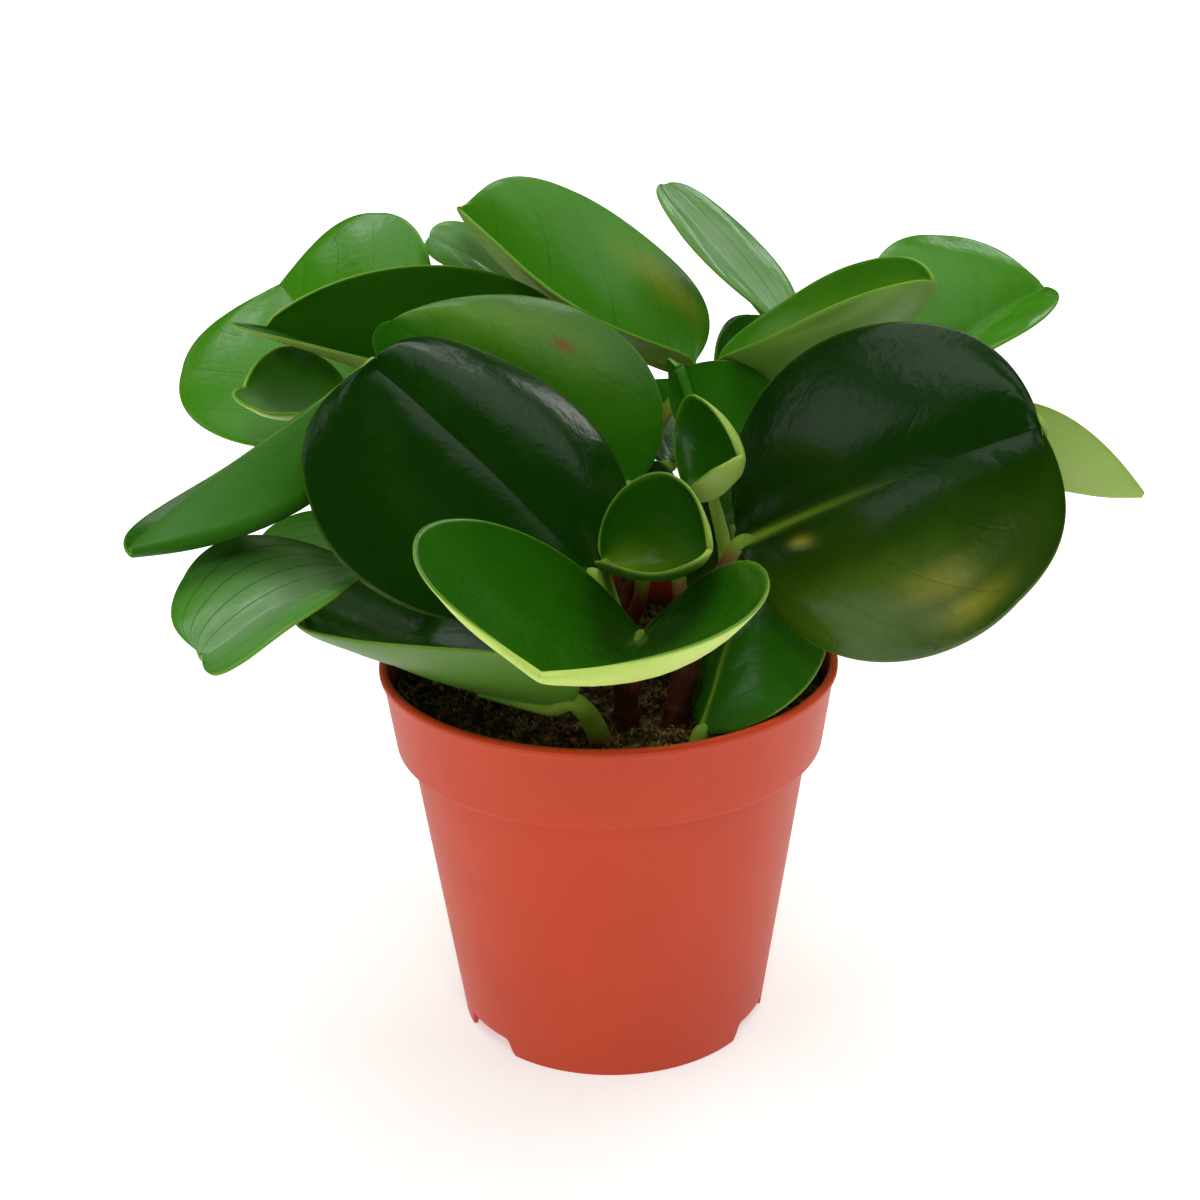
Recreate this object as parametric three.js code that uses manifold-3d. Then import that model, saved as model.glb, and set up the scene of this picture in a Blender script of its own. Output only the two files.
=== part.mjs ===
// A potted peperomia: a round nursery pot, its soil, five thick stems and thirty fleshy leaves.
// Millimetres, +Z up. The origin is the centre of the pot's underside and the plant's front faces -Y.
import * as THREE from "three";
import { mergeVertices } from "three/addons/utils/BufferGeometryUtils.js";
import Module from "manifold-3d";

const wasm = await Module();
wasm.setup();

// Clearance between pieces that touch.
const GAP = 0.3;

// The pot: radii and heights of its moulded wall.
const LIP_RADIUS = 60;
const LIP_INNER_RADIUS = 57.9;
const POT_HEIGHT = 103;
const LIP_HEIGHT = 2;
const BAND_TOP_RADIUS = 59.2;
const BAND_BOTTOM_RADIUS = 56.3;
const BAND_BOTTOM = 80;
const BODY_TOP_RADIUS = 52.7;
const FOOT_RADIUS = 41;
const WALL = 1.2;
const FLOOR_HEIGHT = 5;
const FLOOR_THICKNESS = 1;
const PAD_RADIUS = 14;
const PAD_DRAFT = 0.4;
const EDGE = 0.7;
const POT_SIDES = 48;

// The foot ring's three notches and the floor's drain holes.
const FOOT_COUNT = 3;
const FRONT_FOOT_TURN = THREE.MathUtils.degToRad(5.5);
const NOTCH_WIDTH = 16;
const NOTCH_HEIGHT = 4.8;
const NOTCH_SLOPE = 2.2;
const NOTCH_DEPTH = 12;
const DRAIN_COUNT = 6;
const DRAIN_RADIUS = 3.5;
const DRAIN_CIRCLE = 30;
const DRAIN_SIDES = 12;

// The soil: its mean level, its clearance to the wall, and its lumps, whose wave numbers are in radians
// per millimetre and which fade out near the middle.
const SOIL_LEVEL = 94.5;
const SOIL_CLEARANCE = 0.5;
const SOIL_LUMP = 1.1;
const LUMP_WAVE = 0.29;
const FINE_LUMP_WAVE = 0.46;
const FINE_LUMP_SHARE = 0.6;
const LUMP_FADE = 8;
const SOIL_SIDES = 32;
const SOIL_RINGS = 7;

// Leaves: blade thickness at the midrib and at the rim. A blade shorter than SMALL_LEAF has fewer faces.
const BLADE_THICKNESS = 1.5;
const RIM_THICKNESS = 0.9;
const SMALL_LEAF = 48;
const GRIDS = { large: { rows: 10, half: 3 }, small: { rows: 8, half: 2 } };

// A blade's outline: the place along it where it is widest, how far that lies towards the tip, how square
// its ends are, its narrowing at the base, and the two lobes of its notched tip, which run ahead of the
// midrib by a share of its length.
const WIDEST = 0.526;
const OUTLINE_SKEW = 1.08;
const OUTLINE_FULLNESS = 0.8;
const EVEN_TAPER = 0.35;
const EVEN_OPEN = [0.2, 0.2];
const LOBE_START = 0.7;
const EVEN_LOBES = [0.033, 0.033];

// Petioles, and where their ends run under the midrib: three places along it, and the depth below it.
const PETIOLE_RADIUS = 2.1;
const PETIOLE_END_RADIUS = 0.8;
const PETIOLE_SIDES = 6;
const PETIOLE_STEPS = 7;
const PETIOLE_PLACES = [0.14, 0.26, 0.38];
const PETIOLE_DROP = 0.4;
const SOCKET_GAP = GAP + 0.1;

const vec = (p) => new THREE.Vector3(...p);

// Stems: the points that each axis passes, from deep in the soil to the growing tip.
const STEM_RADIUS = 4.8;
const STEM_TIP_RADIUS = 3.2;
const STEM_SIDES = 8;
const STEM_STEPS = 8;
const STEMS = {
  front: [[4, -27, 60], [4.5, -28, 92], [4, -30, 119]],
  front_right: [[16, -26, 60], [16, -28, 92], [25, -20, 129]],
  right: [[34, 12, 60], [34, 14, 92], [38, 26, 128], [41, 33, 145]],
  middle: [[4, 14, 60], [4, 18, 92], [6, 28, 124], [5, 36, 142]],
  left: [[-28, 8, 60], [-30, 10, 92], [-38, 18, 122], [-42, 24, 140]],
};

// Leaves: the blade's base, tip and widest points to the left and right of the midrib, seen from above
// with the tip ahead. arch lifts the midrib, bow curves each half, open turns a half's tip end outwards,
// taper narrows the base, sharp makes the tip pointed where it isn't round, lobes says how far each half
// runs ahead of the midrib's end as a share of the chord, and stalk is the radius of a thick petiole.
// The petiole leaves its stem at a height, or stands in the soil at a root point, and passes the via points.
const LEAVES = {
  leaf_01_front_left: {
    stem: "front", height: 110, via: [[1, -27, 124]],
    base: [-2, -32, 137], tip: [-57, -6, 185], left: [-62, -36, 140], right: [-9, 10, 170],
    arch: 3, bow: [0.08, 0.1], taper: 0.15,
  },
  leaf_02_front_low: {
    stem: "front", height: 103, via: [[9, -33, 115]],
    base: [8, -40, 125], tip: [-14, -108, 145], left: [35, -92, 159], right: [-37, -72, 167],
    arch: -4, bow: [-0.12, -0.06], open: [0.8, 0.45],
  },
  leaf_03_front_right: {
    stem: "front_right", height: 124, via: [[29, -19, 133]],
    base: [33, -18, 140], tip: [99, -52, 180], left: [58, -6, 190], right: [78, -56, 125],
    arch: 4, bow: [0.06, 0.08], taper: 0.1, lobes: [0, 0.033],
  },
  leaf_04_young_front: {
    stem: "front", height: 116, via: [[2, -36, 128]],
    base: [-1, -38, 143], tip: [23, -57, 153], left: [10, -42, 166], right: [8, -62, 150],
    arch: -3, bow: [-0.15, -0.15], open: [0, 0.5], taper: 0.1,
  },
  leaf_05_young_right: {
    stem: "front_right", height: 112, via: [[18, -10, 130], [18, -8, 144]],
    base: [20, -14, 152], tip: [31, -38, 169], left: [19, -14, 176], right: [19, -46, 165],
    arch: -3, bow: [-0.15, -0.15], open: [0, 0.3],
  },
  leaf_06_middle_left: {
    stem: "middle", height: 100, via: [[9, 6, 118], [9, 5, 134]],
    base: [7, 8, 146], tip: [-55, 28, 186], left: [-20, 2, 140], right: [1, 42, 182],
    arch: 3, bow: [0.05, 0.05], sharp: 0.3, lobes: [0.16, 0],
  },
  leaf_07_upper_left: {
    stem: "middle", height: 136, via: [[-4, 58, 150]],
    base: [-16, 57, 160], tip: [-90, 44, 181], left: [-59, 43, 171], right: [-29, 62, 191],
    arch: -6, bow: [-0.08, -0.05], sharp: 0.3, lobes: [0.15, 0],
  },
  leaf_08_far_left: {
    stem: "left", height: 130, via: [[-50, 40, 140]],
    base: [-58, 52, 149], tip: [-95, 105, 178], left: [-117, 61, 151], right: [-53, 101, 195],
    arch: 4, bow: [0.05, 0.05],
  },
  leaf_09_young_left: {
    stem: "left", height: 124, via: [[-57, 42, 141]],
    base: [-71, 51, 157], tip: [-95, 34, 167], left: [-86, 27, 162], right: [-82, 49, 174],
    arch: -3, bow: [-0.15, -0.12], sharp: 0.8, lobes: [0.12, 0],
  },
  leaf_10_left_spoon: {
    stem: "left", height: 136, via: [[-46, 34, 149]],
    base: [-58, 33, 169], tip: [-114, -37, 147], left: [-87, -5, 161], right: [-104, 8, 149],
    arch: -16, bow: [-0.1, -0.1], open: [-2.4, 0], taper: 0.3, sharp: 0.9,
  },
  leaf_11_left_low: {
    stem: "left", height: 114, via: [[-48, 2, 124]],
    base: [-62, -5, 129], tip: [-94, -61, 130], left: [-73, -66, 138], right: [-98, -11, 140],
    arch: 3, bow: [0.05, 0.05], taper: 0.7,
  },
  leaf_12_left_under: {
    stem: "left", height: 101, via: [[-44, 17, 115]],
    base: [-54, 20, 122], tip: [-98, 48, 113], left: [-81, 14, 116], right: [-81, 59, 124],
    arch: 3, bow: [0.05, 0.05],
  },
  leaf_13_front_rim: {
    root: [-2, -37, 78], via: [[-3, -38, 98]],
    base: [-9, -42, 109], tip: [-77, -11, 121], left: [-39, -56, 129], right: [-44, 6, 117],
    arch: -4, bow: [-0.08, -0.1], open: [1, 0.2], stalk: 3.1,
  },
  leaf_14_soil_right: {
    root: [20, -42, 80], via: [],
    base: [22, -39, 98], tip: [40, 0, 128], left: [28, 8, 108], right: [53, -33, 113],
    arch: 2, bow: [0.05, 0.05], taper: 0.5, stalk: 2.6,
  },
  leaf_15_top_back: {
    stem: "middle", height: 139, via: [[16, 50, 152]],
    base: [25, 61, 164], tip: [-39, 84, 204], left: [-11, 46, 188], right: [10, 105, 194],
    arch: -8, bow: [0.02, 0.05],
  },
  leaf_16_young_top: {
    stem: "middle", height: 124, via: [[-6, 72, 148], [-17, 94, 164]],
    base: [-24, 98, 176], tip: [-49, 88, 195], left: [-42, 84, 186], right: [-37, 102, 195],
    arch: 2, bow: [0.05, 0.05], taper: 0.4, lobes: [0, 0], sharp: 0.4,
  },
  leaf_17_top_right: {
    stem: "right", height: 142, via: [[49, 58, 158]],
    base: [52, 66, 172], tip: [18, 92, 208], left: [29, 64, 192], right: [48, 94, 189],
    arch: 0, bow: [0.05, 0.05], taper: 0.7,
  },
  leaf_18_right_upper: {
    stem: "right", height: 132, via: [[36, 44, 148]],
    base: [32, 51, 161], tip: [83, 13, 197], left: [55, 52, 188], right: [47, -3, 192],
    arch: -8, bow: [-0.08, -0.1], taper: 0.3, open: [0, 0.2], sharp: 0.3,
  },
  leaf_19_far_right: {
    stem: "right", height: 128, via: [[58, 34, 140], [72, 40, 152]],
    base: [81, 46, 158], tip: [128, 94, 176], left: [83, 94, 190], right: [107, 35, 176],
    arch: 3, bow: [0.05, 0.08],
  },
  leaf_20_right_edge: {
    stem: "right", height: 118, via: [[54, 12, 138], [72, 10, 153]],
    base: [83, 8, 157], tip: [135, -8, 148], left: [109, 25, 151], right: [103, -17, 176],
    arch: -2, bow: [-0.08, -0.08], open: [0.3, 0.2], taper: 0.7, sharp: 1,
  },
  leaf_21_middle_upright: {
    stem: "front_right", height: 119, via: [[30, -12, 131]],
    base: [26, -9, 152], tip: [19, 14, 176], left: [17, 19, 166], right: [48, 12, 167],
    arch: -2, bow: [0, 0],
  },
  leaf_22_young_back: {
    stem: "right", height: 126, via: [[40, 46, 138]],
    base: [37, 60, 154], tip: [43, 91, 170], left: [31, 66, 166], right: [51, 87, 160],
    arch: 0, bow: [0, 0],
  },
  leaf_23_inner_dark: {
    stem: "front_right", height: 104, via: [[21, -11, 107]],
    base: [23, 1, 116], tip: [27, 19, 137], left: [20, 9, 132], right: [33, 10, 125],
    arch: 0, bow: [0, 0],
  },
  leaf_24_inner_small: {
    stem: "middle", height: 110, via: [[9, 15, 121]],
    base: [13, 11, 131], tip: [11, 23, 148], left: [4, 17, 139], right: [20, 17, 141],
    arch: 0, bow: [0.05, 0.05],
  },
  leaf_25_back_high: {
    stem: "middle", height: 132, via: [[11, 43, 134]],
    base: [17, 52, 138], tip: [42, 119, 138], left: [5, 98, 148], right: [56, 82, 148],
    arch: 4, bow: [0.05, 0.05],
  },
  leaf_26_back_left: {
    stem: "middle", height: 118, via: [[-3, 38, 122]],
    base: [-12, 50, 128], tip: [-48, 116, 130], left: [-58, 72, 142], right: [-4, 100, 142],
    arch: 3, bow: [0.05, 0.05],
  },
  leaf_27_back_low: {
    stem: "middle", height: 103, via: [[8, 34, 108]],
    base: [10, 48, 112], tip: [24, 116, 106], left: [-10, 91, 116], right: [46, 79, 116],
    arch: 5, bow: [0.05, 0.05],
  },
  leaf_28_back_right: {
    stem: "right", height: 110, via: [[36, 32, 118]],
    base: [35, 42, 122], tip: [84, 92, 114], left: [40, 89, 126], right: [82, 49, 126],
    arch: 4, bow: [0.05, 0.05],
  },
  leaf_29_back_far_left: {
    stem: "left", height: 106, via: [[-30, 30, 112]],
    base: [-25, 45, 114], tip: [-50, 108, 108], left: [-64, 67, 119], right: [-12, 91, 119],
    arch: 4, bow: [0.05, 0.05],
  },
  leaf_30_right_under: {
    stem: "right", height: 112, via: [[44, 13, 122]],
    base: [52, 12, 128], tip: [112, 22, 122], left: [79, 45, 132], right: [89, -11, 132],
    arch: 4, bow: [0.05, 0.05],
  },
};

const TERRACOTTA = new THREE.MeshStandardMaterial({ color: 0xc04a2a, roughness: 0.45, metalness: 0 });
const PEAT = new THREE.MeshStandardMaterial({ color: 0x2c2018, roughness: 0.95, metalness: 0 });
const STEM_SKIN = new THREE.MeshStandardMaterial({ color: 0x6a3b2a, roughness: 0.6, metalness: 0 });
const LEAF_GREEN = new THREE.MeshStandardMaterial({ color: 0x1d5a12, roughness: 0.3, metalness: 0 });

const { lerp, clamp } = THREE.MathUtils;

// Turns a closed geometry into a solid that can be joined and cut.
function solidOf(geometry) {
  const bare = geometry.clone();
  bare.deleteAttribute("normal");
  bare.deleteAttribute("uv");
  const merged = mergeVertices(bare, 1e-4);
  const vertProperties = merged.attributes.position.array;
  const triVerts = new Uint32Array(merged.index.array);
  return new wasm.Manifold(new wasm.Mesh({ numProp: 3, vertProperties, triVerts }));
}

function geometryOf(solid) {
  const mesh = solid.getMesh();
  const geometry = new THREE.BufferGeometry();
  geometry.setAttribute("position", new THREE.BufferAttribute(mesh.vertProperties, 3));
  geometry.setIndex(new THREE.BufferAttribute(mesh.triVerts, 1));
  geometry.computeVertexNormals();
  return geometry;
}

function indexedGeometry(positions, index) {
  const geometry = new THREE.BufferGeometry();
  geometry.setAttribute("position", new THREE.Float32BufferAttribute(positions, 3));
  geometry.setIndex(index);
  return geometry;
}

function largestBody(solid) {
  return solid.decompose().reduce((a, b) => (b.volume() > a.volume() ? b : a));
}

// A profile of [radius, height] points turned about the Z axis.
function turned(profile, sides) {
  const points = profile.map(([radius, height]) => new THREE.Vector2(radius, height));
  return new THREE.LatheGeometry(points, sides).rotateX(Math.PI / 2);
}

// A closed tube along a curve. The radius is a function of the place along it, from 0 to 1.
function taperedTube(curve, steps, sides, radiusAt) {
  const frames = curve.computeFrenetFrames(steps, false);
  const positions = [];
  const index = [];
  for (let i = 0; i <= steps; i++) {
    const centre = curve.getPointAt(i / steps);
    const radius = radiusAt(i / steps);
    for (let j = 0; j < sides; j++) {
      const angle = (2 * Math.PI * j) / sides;
      const point = centre.clone()
        .addScaledVector(frames.normals[i], radius * Math.cos(angle))
        .addScaledVector(frames.binormals[i], radius * Math.sin(angle));
      positions.push(...point.toArray());
    }
  }
  const ring = (i, j) => i * sides + (j % sides);
  for (let i = 0; i < steps; i++) {
    for (let j = 0; j < sides; j++) {
      index.push(ring(i, j), ring(i, j + 1), ring(i + 1, j));
      index.push(ring(i, j + 1), ring(i + 1, j + 1), ring(i + 1, j));
    }
  }
  for (let j = 1; j < sides - 1; j++) {
    index.push(ring(0, 0), ring(0, j + 1), ring(0, j));
    index.push(ring(steps, 0), ring(steps, j), ring(steps, j + 1));
  }
  return indexedGeometry(positions, index);
}

// A leaf's upper surface as a function of the place along it, t, the side, +1 left and -1 right, and
// the share of the way from midrib to rim, q. The midrib is an arc over the chord, and each half spans
// from it towards the half's widest point.
function bladeSurface(leaf) {
  const base = vec(leaf.base);
  const chord = vec(leaf.tip).sub(base);
  const direction = chord.clone().normalize();
  const { arch, taper = EVEN_TAPER, open = EVEN_OPEN, sharp = 0 } = leaf;
  const lobes = leaf.lobes ?? EVEN_LOBES.map((share) => share * (1 - sharp));
  const along = (t) => 0.5 - 0.5 * Math.cos(Math.PI * t);
  const arc = (u) => 4 * u * (1 - u);
  const widest = along(WIDEST);
  const widths = [vec(leaf.left), vec(leaf.right)];
  const up = new THREE.Vector3(0, 0, 1);
  const spans = [new THREE.Vector3(), new THREE.Vector3()];
  const normals = [new THREE.Vector3(), new THREE.Vector3()];
  const midrib = (t) => {
    const u = along(t);
    return base.clone().addScaledVector(chord, u).addScaledVector(up, arc(u) * arch);
  };
  // The upward direction depends on the spans and they on it, so both are worked out three times.
  for (let pass = 0; pass < 3; pass++) {
    const middle = base.clone().addScaledVector(chord, widest);
    if (pass > 0) middle.addScaledVector(up, arc(widest) * arch);
    widths.forEach((point, k) => spans[k].copy(point).sub(middle));
    normals[0].crossVectors(direction, spans[0]).normalize();
    normals[1].crossVectors(spans[1], direction).normalize();
    up.addVectors(normals[0], normals[1]).normalize();
  }
  const surface = (t, side, q) => {
    const k = side > 0 ? 0 : 1;
    const round = Math.max(0, Math.sin(Math.PI * t ** OUTLINE_SKEW)) ** OUTLINE_FULLNESS;
    const past = clamp((t - WIDEST) / (1 - WIDEST), 0, 1);
    const width = round * (1 - taper * (1 - t) ** 4) * (1 - past ** 2) ** sharp;
    const lift = spans[k].length() * (leaf.bow[k] * arc(q) - open[k] * (t - WIDEST) * q);
    const ahead = Math.sin(Math.PI * clamp((t - LOBE_START) / (1 - LOBE_START), 0, 1));
    return midrib(t)
      .addScaledVector(spans[k], q * width)
      .addScaledVector(normals[k], lift * width)
      .addScaledVector(chord, lobes[k] * ahead * q);
  };
  return { surface, midrib, up, grid: chord.length() < SMALL_LEAF ? GRIDS.small : GRIDS.large };
}

// The blade as a closed shell: the upper face, the same face set down by the thickness, and the rim.
function bladeGeometry({ surface, grid }) {
  const columns = 2 * grid.half;
  const points = [];
  const indexAt = [];
  for (let i = 0; i <= grid.rows; i++) {
    const pole = i === 0 || i === grid.rows;
    const row = [];
    for (let j = 0; j <= columns; j++) {
      if (!pole || j === 0) {
        const side = j <= grid.half ? 1 : -1;
        const q = Math.abs(j - grid.half) / grid.half;
        points.push({ at: surface(i / grid.rows, side, pole ? 0 : q), share: pole ? 1 : q });
      }
      row.push(points.length - 1);
    }
    indexAt.push(row);
  }
  const upper = [];
  for (let i = 0; i < grid.rows; i++) {
    for (let j = 0; j < columns; j++) {
      const [a, b] = [indexAt[i][j], indexAt[i][j + 1]];
      const [c, d] = [indexAt[i + 1][j], indexAt[i + 1][j + 1]];
      if (a !== b) upper.push([a, b, c]);
      if (c !== d) upper.push([b, d, c]);
    }
  }
  const normals = points.map(() => new THREE.Vector3());
  for (const [a, b, c] of upper) {
    const first = points[b].at.clone().sub(points[a].at);
    const second = points[c].at.clone().sub(points[a].at);
    const cross = first.cross(second);
    [a, b, c].forEach((v) => normals[v].add(cross));
  }
  const count = points.length;
  const positions = points.flatMap((p) => p.at.toArray());
  points.forEach((p, k) => {
    const depth = lerp(BLADE_THICKNESS, RIM_THICKNESS, p.share);
    positions.push(...p.at.clone().addScaledVector(normals[k].normalize(), -depth).toArray());
  });
  const index = [];
  for (const [a, b, c] of upper) index.push(a, b, c, a + count, c + count, b + count);
  for (let i = 0; i < grid.rows; i++) {
    const [a, b] = [indexAt[i][0], indexAt[i + 1][0]];
    const [c, d] = [indexAt[i][columns], indexAt[i + 1][columns]];
    index.push(a, b, a + count, b, b + count, a + count);
    index.push(c, c + count, d, d, c + count, d + count);
  }
  return indexedGeometry(positions, index);
}

const stemCurves = {};
for (const [name, points] of Object.entries(STEMS)) {
  stemCurves[name] = new THREE.CatmullRomCurve3(points.map(vec));
}

// The point of a stem's axis at a height.
function stemPoint(name, height) {
  const curve = stemCurves[name];
  let [low, high] = [0, 1];
  while (high - low > 1e-3) {
    const middle = (low + high) / 2;
    if (curve.getPoint(middle).z < height) low = middle;
    else high = middle;
  }
  return curve.getPoint(low);
}

// The petiole runs from its root to the blade's base and on under the midrib, where it thins out.
function petioleCurve(leaf, { midrib, up }) {
  const root = leaf.root ? vec(leaf.root) : stemPoint(leaf.stem, leaf.height);
  const depth = BLADE_THICKNESS + PETIOLE_DROP;
  const under = PETIOLE_PLACES.map((t) => midrib(t).addScaledVector(up, -depth));
  const join = vec(leaf.base).addScaledVector(up, -BLADE_THICKNESS / 2);
  return new THREE.CatmullRomCurve3([root, ...leaf.via.map(vec), join, ...under], false, "centripetal");
}

function petioleGeometry({ stalk = PETIOLE_RADIUS }, curve, grow) {
  const radius = (s) => grow + lerp(stalk, PETIOLE_END_RADIUS, s ** 3);
  return taperedTube(curve, PETIOLE_STEPS, PETIOLE_SIDES, radius);
}

function stemGeometry(name, grow) {
  const radius = (s) => grow + lerp(STEM_RADIUS, STEM_TIP_RADIUS, s);
  return taperedTube(stemCurves[name], STEM_STEPS, STEM_SIDES, radius);
}

// The pot's wall turned in one piece, with the foot notches and drain holes cut away.
function potSolid() {
  const floorTop = FLOOR_HEIGHT + FLOOR_THICKNESS;
  const slope = (BODY_TOP_RADIUS - FOOT_RADIUS) / BAND_BOTTOM;
  let pot = solidOf(turned([
    [0, 0],
    [PAD_RADIUS, 0],
    [PAD_RADIUS + PAD_DRAFT, FLOOR_HEIGHT],
    [FOOT_RADIUS - WALL, FLOOR_HEIGHT],
    [FOOT_RADIUS - WALL, 0],
    [FOOT_RADIUS, 0],
    [BODY_TOP_RADIUS, BAND_BOTTOM],
    [BAND_BOTTOM_RADIUS - EDGE, BAND_BOTTOM],
    [BAND_BOTTOM_RADIUS, BAND_BOTTOM + EDGE],
    [BAND_TOP_RADIUS, POT_HEIGHT - LIP_HEIGHT],
    [LIP_RADIUS, POT_HEIGHT - LIP_HEIGHT],
    [LIP_RADIUS, POT_HEIGHT - EDGE],
    [LIP_RADIUS - EDGE, POT_HEIGHT],
    [LIP_INNER_RADIUS + EDGE / 2, POT_HEIGHT],
    [LIP_INNER_RADIUS, POT_HEIGHT - EDGE / 2],
    [BAND_BOTTOM_RADIUS - WALL, BAND_BOTTOM + WALL],
    [BODY_TOP_RADIUS - WALL, BAND_BOTTOM],
    [FOOT_RADIUS + slope * floorTop - WALL, floorTop],
    [PAD_RADIUS + PAD_DRAFT - WALL, floorTop],
    [PAD_RADIUS - WALL, WALL],
    [0, WALL],
  ], POT_SIDES));
  const half = NOTCH_WIDTH / 2;
  const outline = new THREE.Shape([
    new THREE.Vector2(-half - NOTCH_SLOPE, -1),
    new THREE.Vector2(half + NOTCH_SLOPE, -1),
    new THREE.Vector2(half, NOTCH_HEIGHT),
    new THREE.Vector2(-half, NOTCH_HEIGHT),
  ]);
  for (let i = 0; i < FOOT_COUNT; i++) {
    const turn = FRONT_FOOT_TURN + ((i + 0.5) * 2 * Math.PI) / FOOT_COUNT;
    const notch = new THREE.ExtrudeGeometry(outline, { depth: NOTCH_DEPTH, bevelEnabled: false });
    notch.rotateX(Math.PI / 2).translate(0, NOTCH_DEPTH / 2 - FOOT_RADIUS, 0).rotateZ(turn);
    pot = pot.subtract(solidOf(notch));
  }
  const drainHeight = 4 * FLOOR_THICKNESS;
  for (let i = 0; i < DRAIN_COUNT; i++) {
    const drain = new THREE.CylinderGeometry(DRAIN_RADIUS, DRAIN_RADIUS, drainHeight, DRAIN_SIDES);
    drain.rotateX(Math.PI / 2).translate(0, -DRAIN_CIRCLE, FLOOR_HEIGHT);
    drain.rotateZ((i * 2 * Math.PI) / DRAIN_COUNT);
    pot = pot.subtract(solidOf(drain));
  }
  return pot;
}

// The soil's height above its mean level: two crossing waves and a finer slanted one.
function lumpAt(x, y) {
  const broad = Math.sin(LUMP_WAVE * x + 1) * Math.cos(LUMP_WAVE * y);
  const fine = FINE_LUMP_SHARE * Math.sin(FINE_LUMP_WAVE * (y - x));
  return SOIL_LUMP * (broad + fine);
}

// The soil fills the pot to just under the lip, clear of the wall.
function soilSolid(holes) {
  const bottom = FLOOR_HEIGHT + FLOOR_THICKNESS + GAP;
  const clear = WALL + SOIL_CLEARANCE;
  const slope = (BAND_TOP_RADIUS - BAND_BOTTOM_RADIUS) / (POT_HEIGHT - BAND_BOTTOM);
  const edge = BAND_BOTTOM_RADIUS + slope * (SOIL_LEVEL - BAND_BOTTOM) - clear - SOIL_CLEARANCE;
  const profile = [
    [0, WALL + GAP],
    [PAD_RADIUS - WALL - GAP, WALL + GAP],
    [PAD_RADIUS - WALL - GAP, bottom],
    [FOOT_RADIUS - clear, bottom],
    [BODY_TOP_RADIUS - clear, BAND_BOTTOM + GAP],
    [BAND_BOTTOM_RADIUS - clear - GAP, BAND_BOTTOM + WALL + GAP],
  ];
  for (let i = 0; i <= SOIL_RINGS; i++) {
    profile.push([edge * (1 - i / SOIL_RINGS), SOIL_LEVEL]);
  }
  const geometry = turned(profile, SOIL_SIDES);
  const position = geometry.attributes.position;
  for (let i = 0; i < position.count; i++) {
    const [x, y, z] = [position.getX(i), position.getY(i), position.getZ(i)];
    const fade = Math.min(1, Math.hypot(x, y) / LUMP_FADE);
    if (z > BAND_BOTTOM + FLOOR_HEIGHT) position.setZ(i, z + fade * lumpAt(x, y));
  }
  return holes.reduce((soil, hole) => soil.subtract(hole), solidOf(geometry));
}

const plant = new THREE.Group();

function place(name, solid, material) {
  const mesh = new THREE.Mesh(geometryOf(solid), material);
  mesh.name = name;
  plant.add(mesh);
}

const sockets = {};
for (const name of Object.keys(STEMS)) {
  place("stem_" + name, solidOf(stemGeometry(name, 0)), STEM_SKIN);
  sockets[name] = solidOf(stemGeometry(name, SOCKET_GAP));
}

const soilHoles = Object.values(sockets);
for (const [name, leaf] of Object.entries(LEAVES)) {
  const blade = bladeSurface(leaf);
  const curve = petioleCurve(leaf, blade);
  let solid = solidOf(bladeGeometry(blade)).add(solidOf(petioleGeometry(leaf, curve, 0)));
  if (leaf.root) soilHoles.push(solidOf(petioleGeometry(leaf, curve, SOCKET_GAP)));
  else solid = largestBody(solid.subtract(sockets[leaf.stem]));
  place(name, solid, LEAF_GREEN);
}

place("pot", potSolid(), TERRACOTTA);
place("soil", soilSolid(soilHoles), PEAT);

export default plant;
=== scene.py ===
"""A potted peperomia: a moulded nursery pot, its peat soil, five stems and thirty fleshy leaves.

Lengths in the tables are millimetres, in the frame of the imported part: +Z up, the plant's front towards -Y,
the origin under the middle of the pot. They are turned to metres where a mesh is made.
"""
import logging
from dataclasses import dataclass, field
from enum import Enum
from functools import cached_property

import bpy
import numpy as np
from mathutils import Matrix, Vector


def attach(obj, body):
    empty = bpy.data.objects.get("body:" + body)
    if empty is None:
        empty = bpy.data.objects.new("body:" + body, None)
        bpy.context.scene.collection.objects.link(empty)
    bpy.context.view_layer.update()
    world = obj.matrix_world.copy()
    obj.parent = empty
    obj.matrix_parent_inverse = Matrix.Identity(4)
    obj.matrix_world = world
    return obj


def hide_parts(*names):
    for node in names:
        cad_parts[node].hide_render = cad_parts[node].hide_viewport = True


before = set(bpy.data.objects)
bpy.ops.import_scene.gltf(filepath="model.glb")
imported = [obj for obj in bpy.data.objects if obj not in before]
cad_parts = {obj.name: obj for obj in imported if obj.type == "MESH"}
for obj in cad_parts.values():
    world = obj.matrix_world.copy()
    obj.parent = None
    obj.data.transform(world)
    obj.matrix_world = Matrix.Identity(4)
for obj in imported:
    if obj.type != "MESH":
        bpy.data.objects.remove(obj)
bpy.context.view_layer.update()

LOG = logging.getLogger("peperomia")
MM = 0.001
UP = np.array([0.0, 0.0, 1.0])
PATH_DENSITY = 12  # places worked out on a smooth path for each point that it returns
TUBE_CAP = 0.3  # how far a tube's end closes past its path, as a share of its radius


class Slot(Enum):
    """The record's material slots."""

    POT = "pot_plastic"
    PEAT = "peat"
    STEM = "stem_skin"
    LEAF = "leaf_skin"


class Age(Enum):
    """How far a leaf has darkened, from the fresh green of a young one to nearly black."""

    OLD = 0
    MATURE = 1
    FRESH = 2
    YOUNG = 3


class Veins(Enum):
    """How the lateral veins run: in a feather from the midrib, or along the blade from base to tip."""

    FEATHERED = "feathered"
    LENGTHWISE = "lengthwise"


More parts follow.
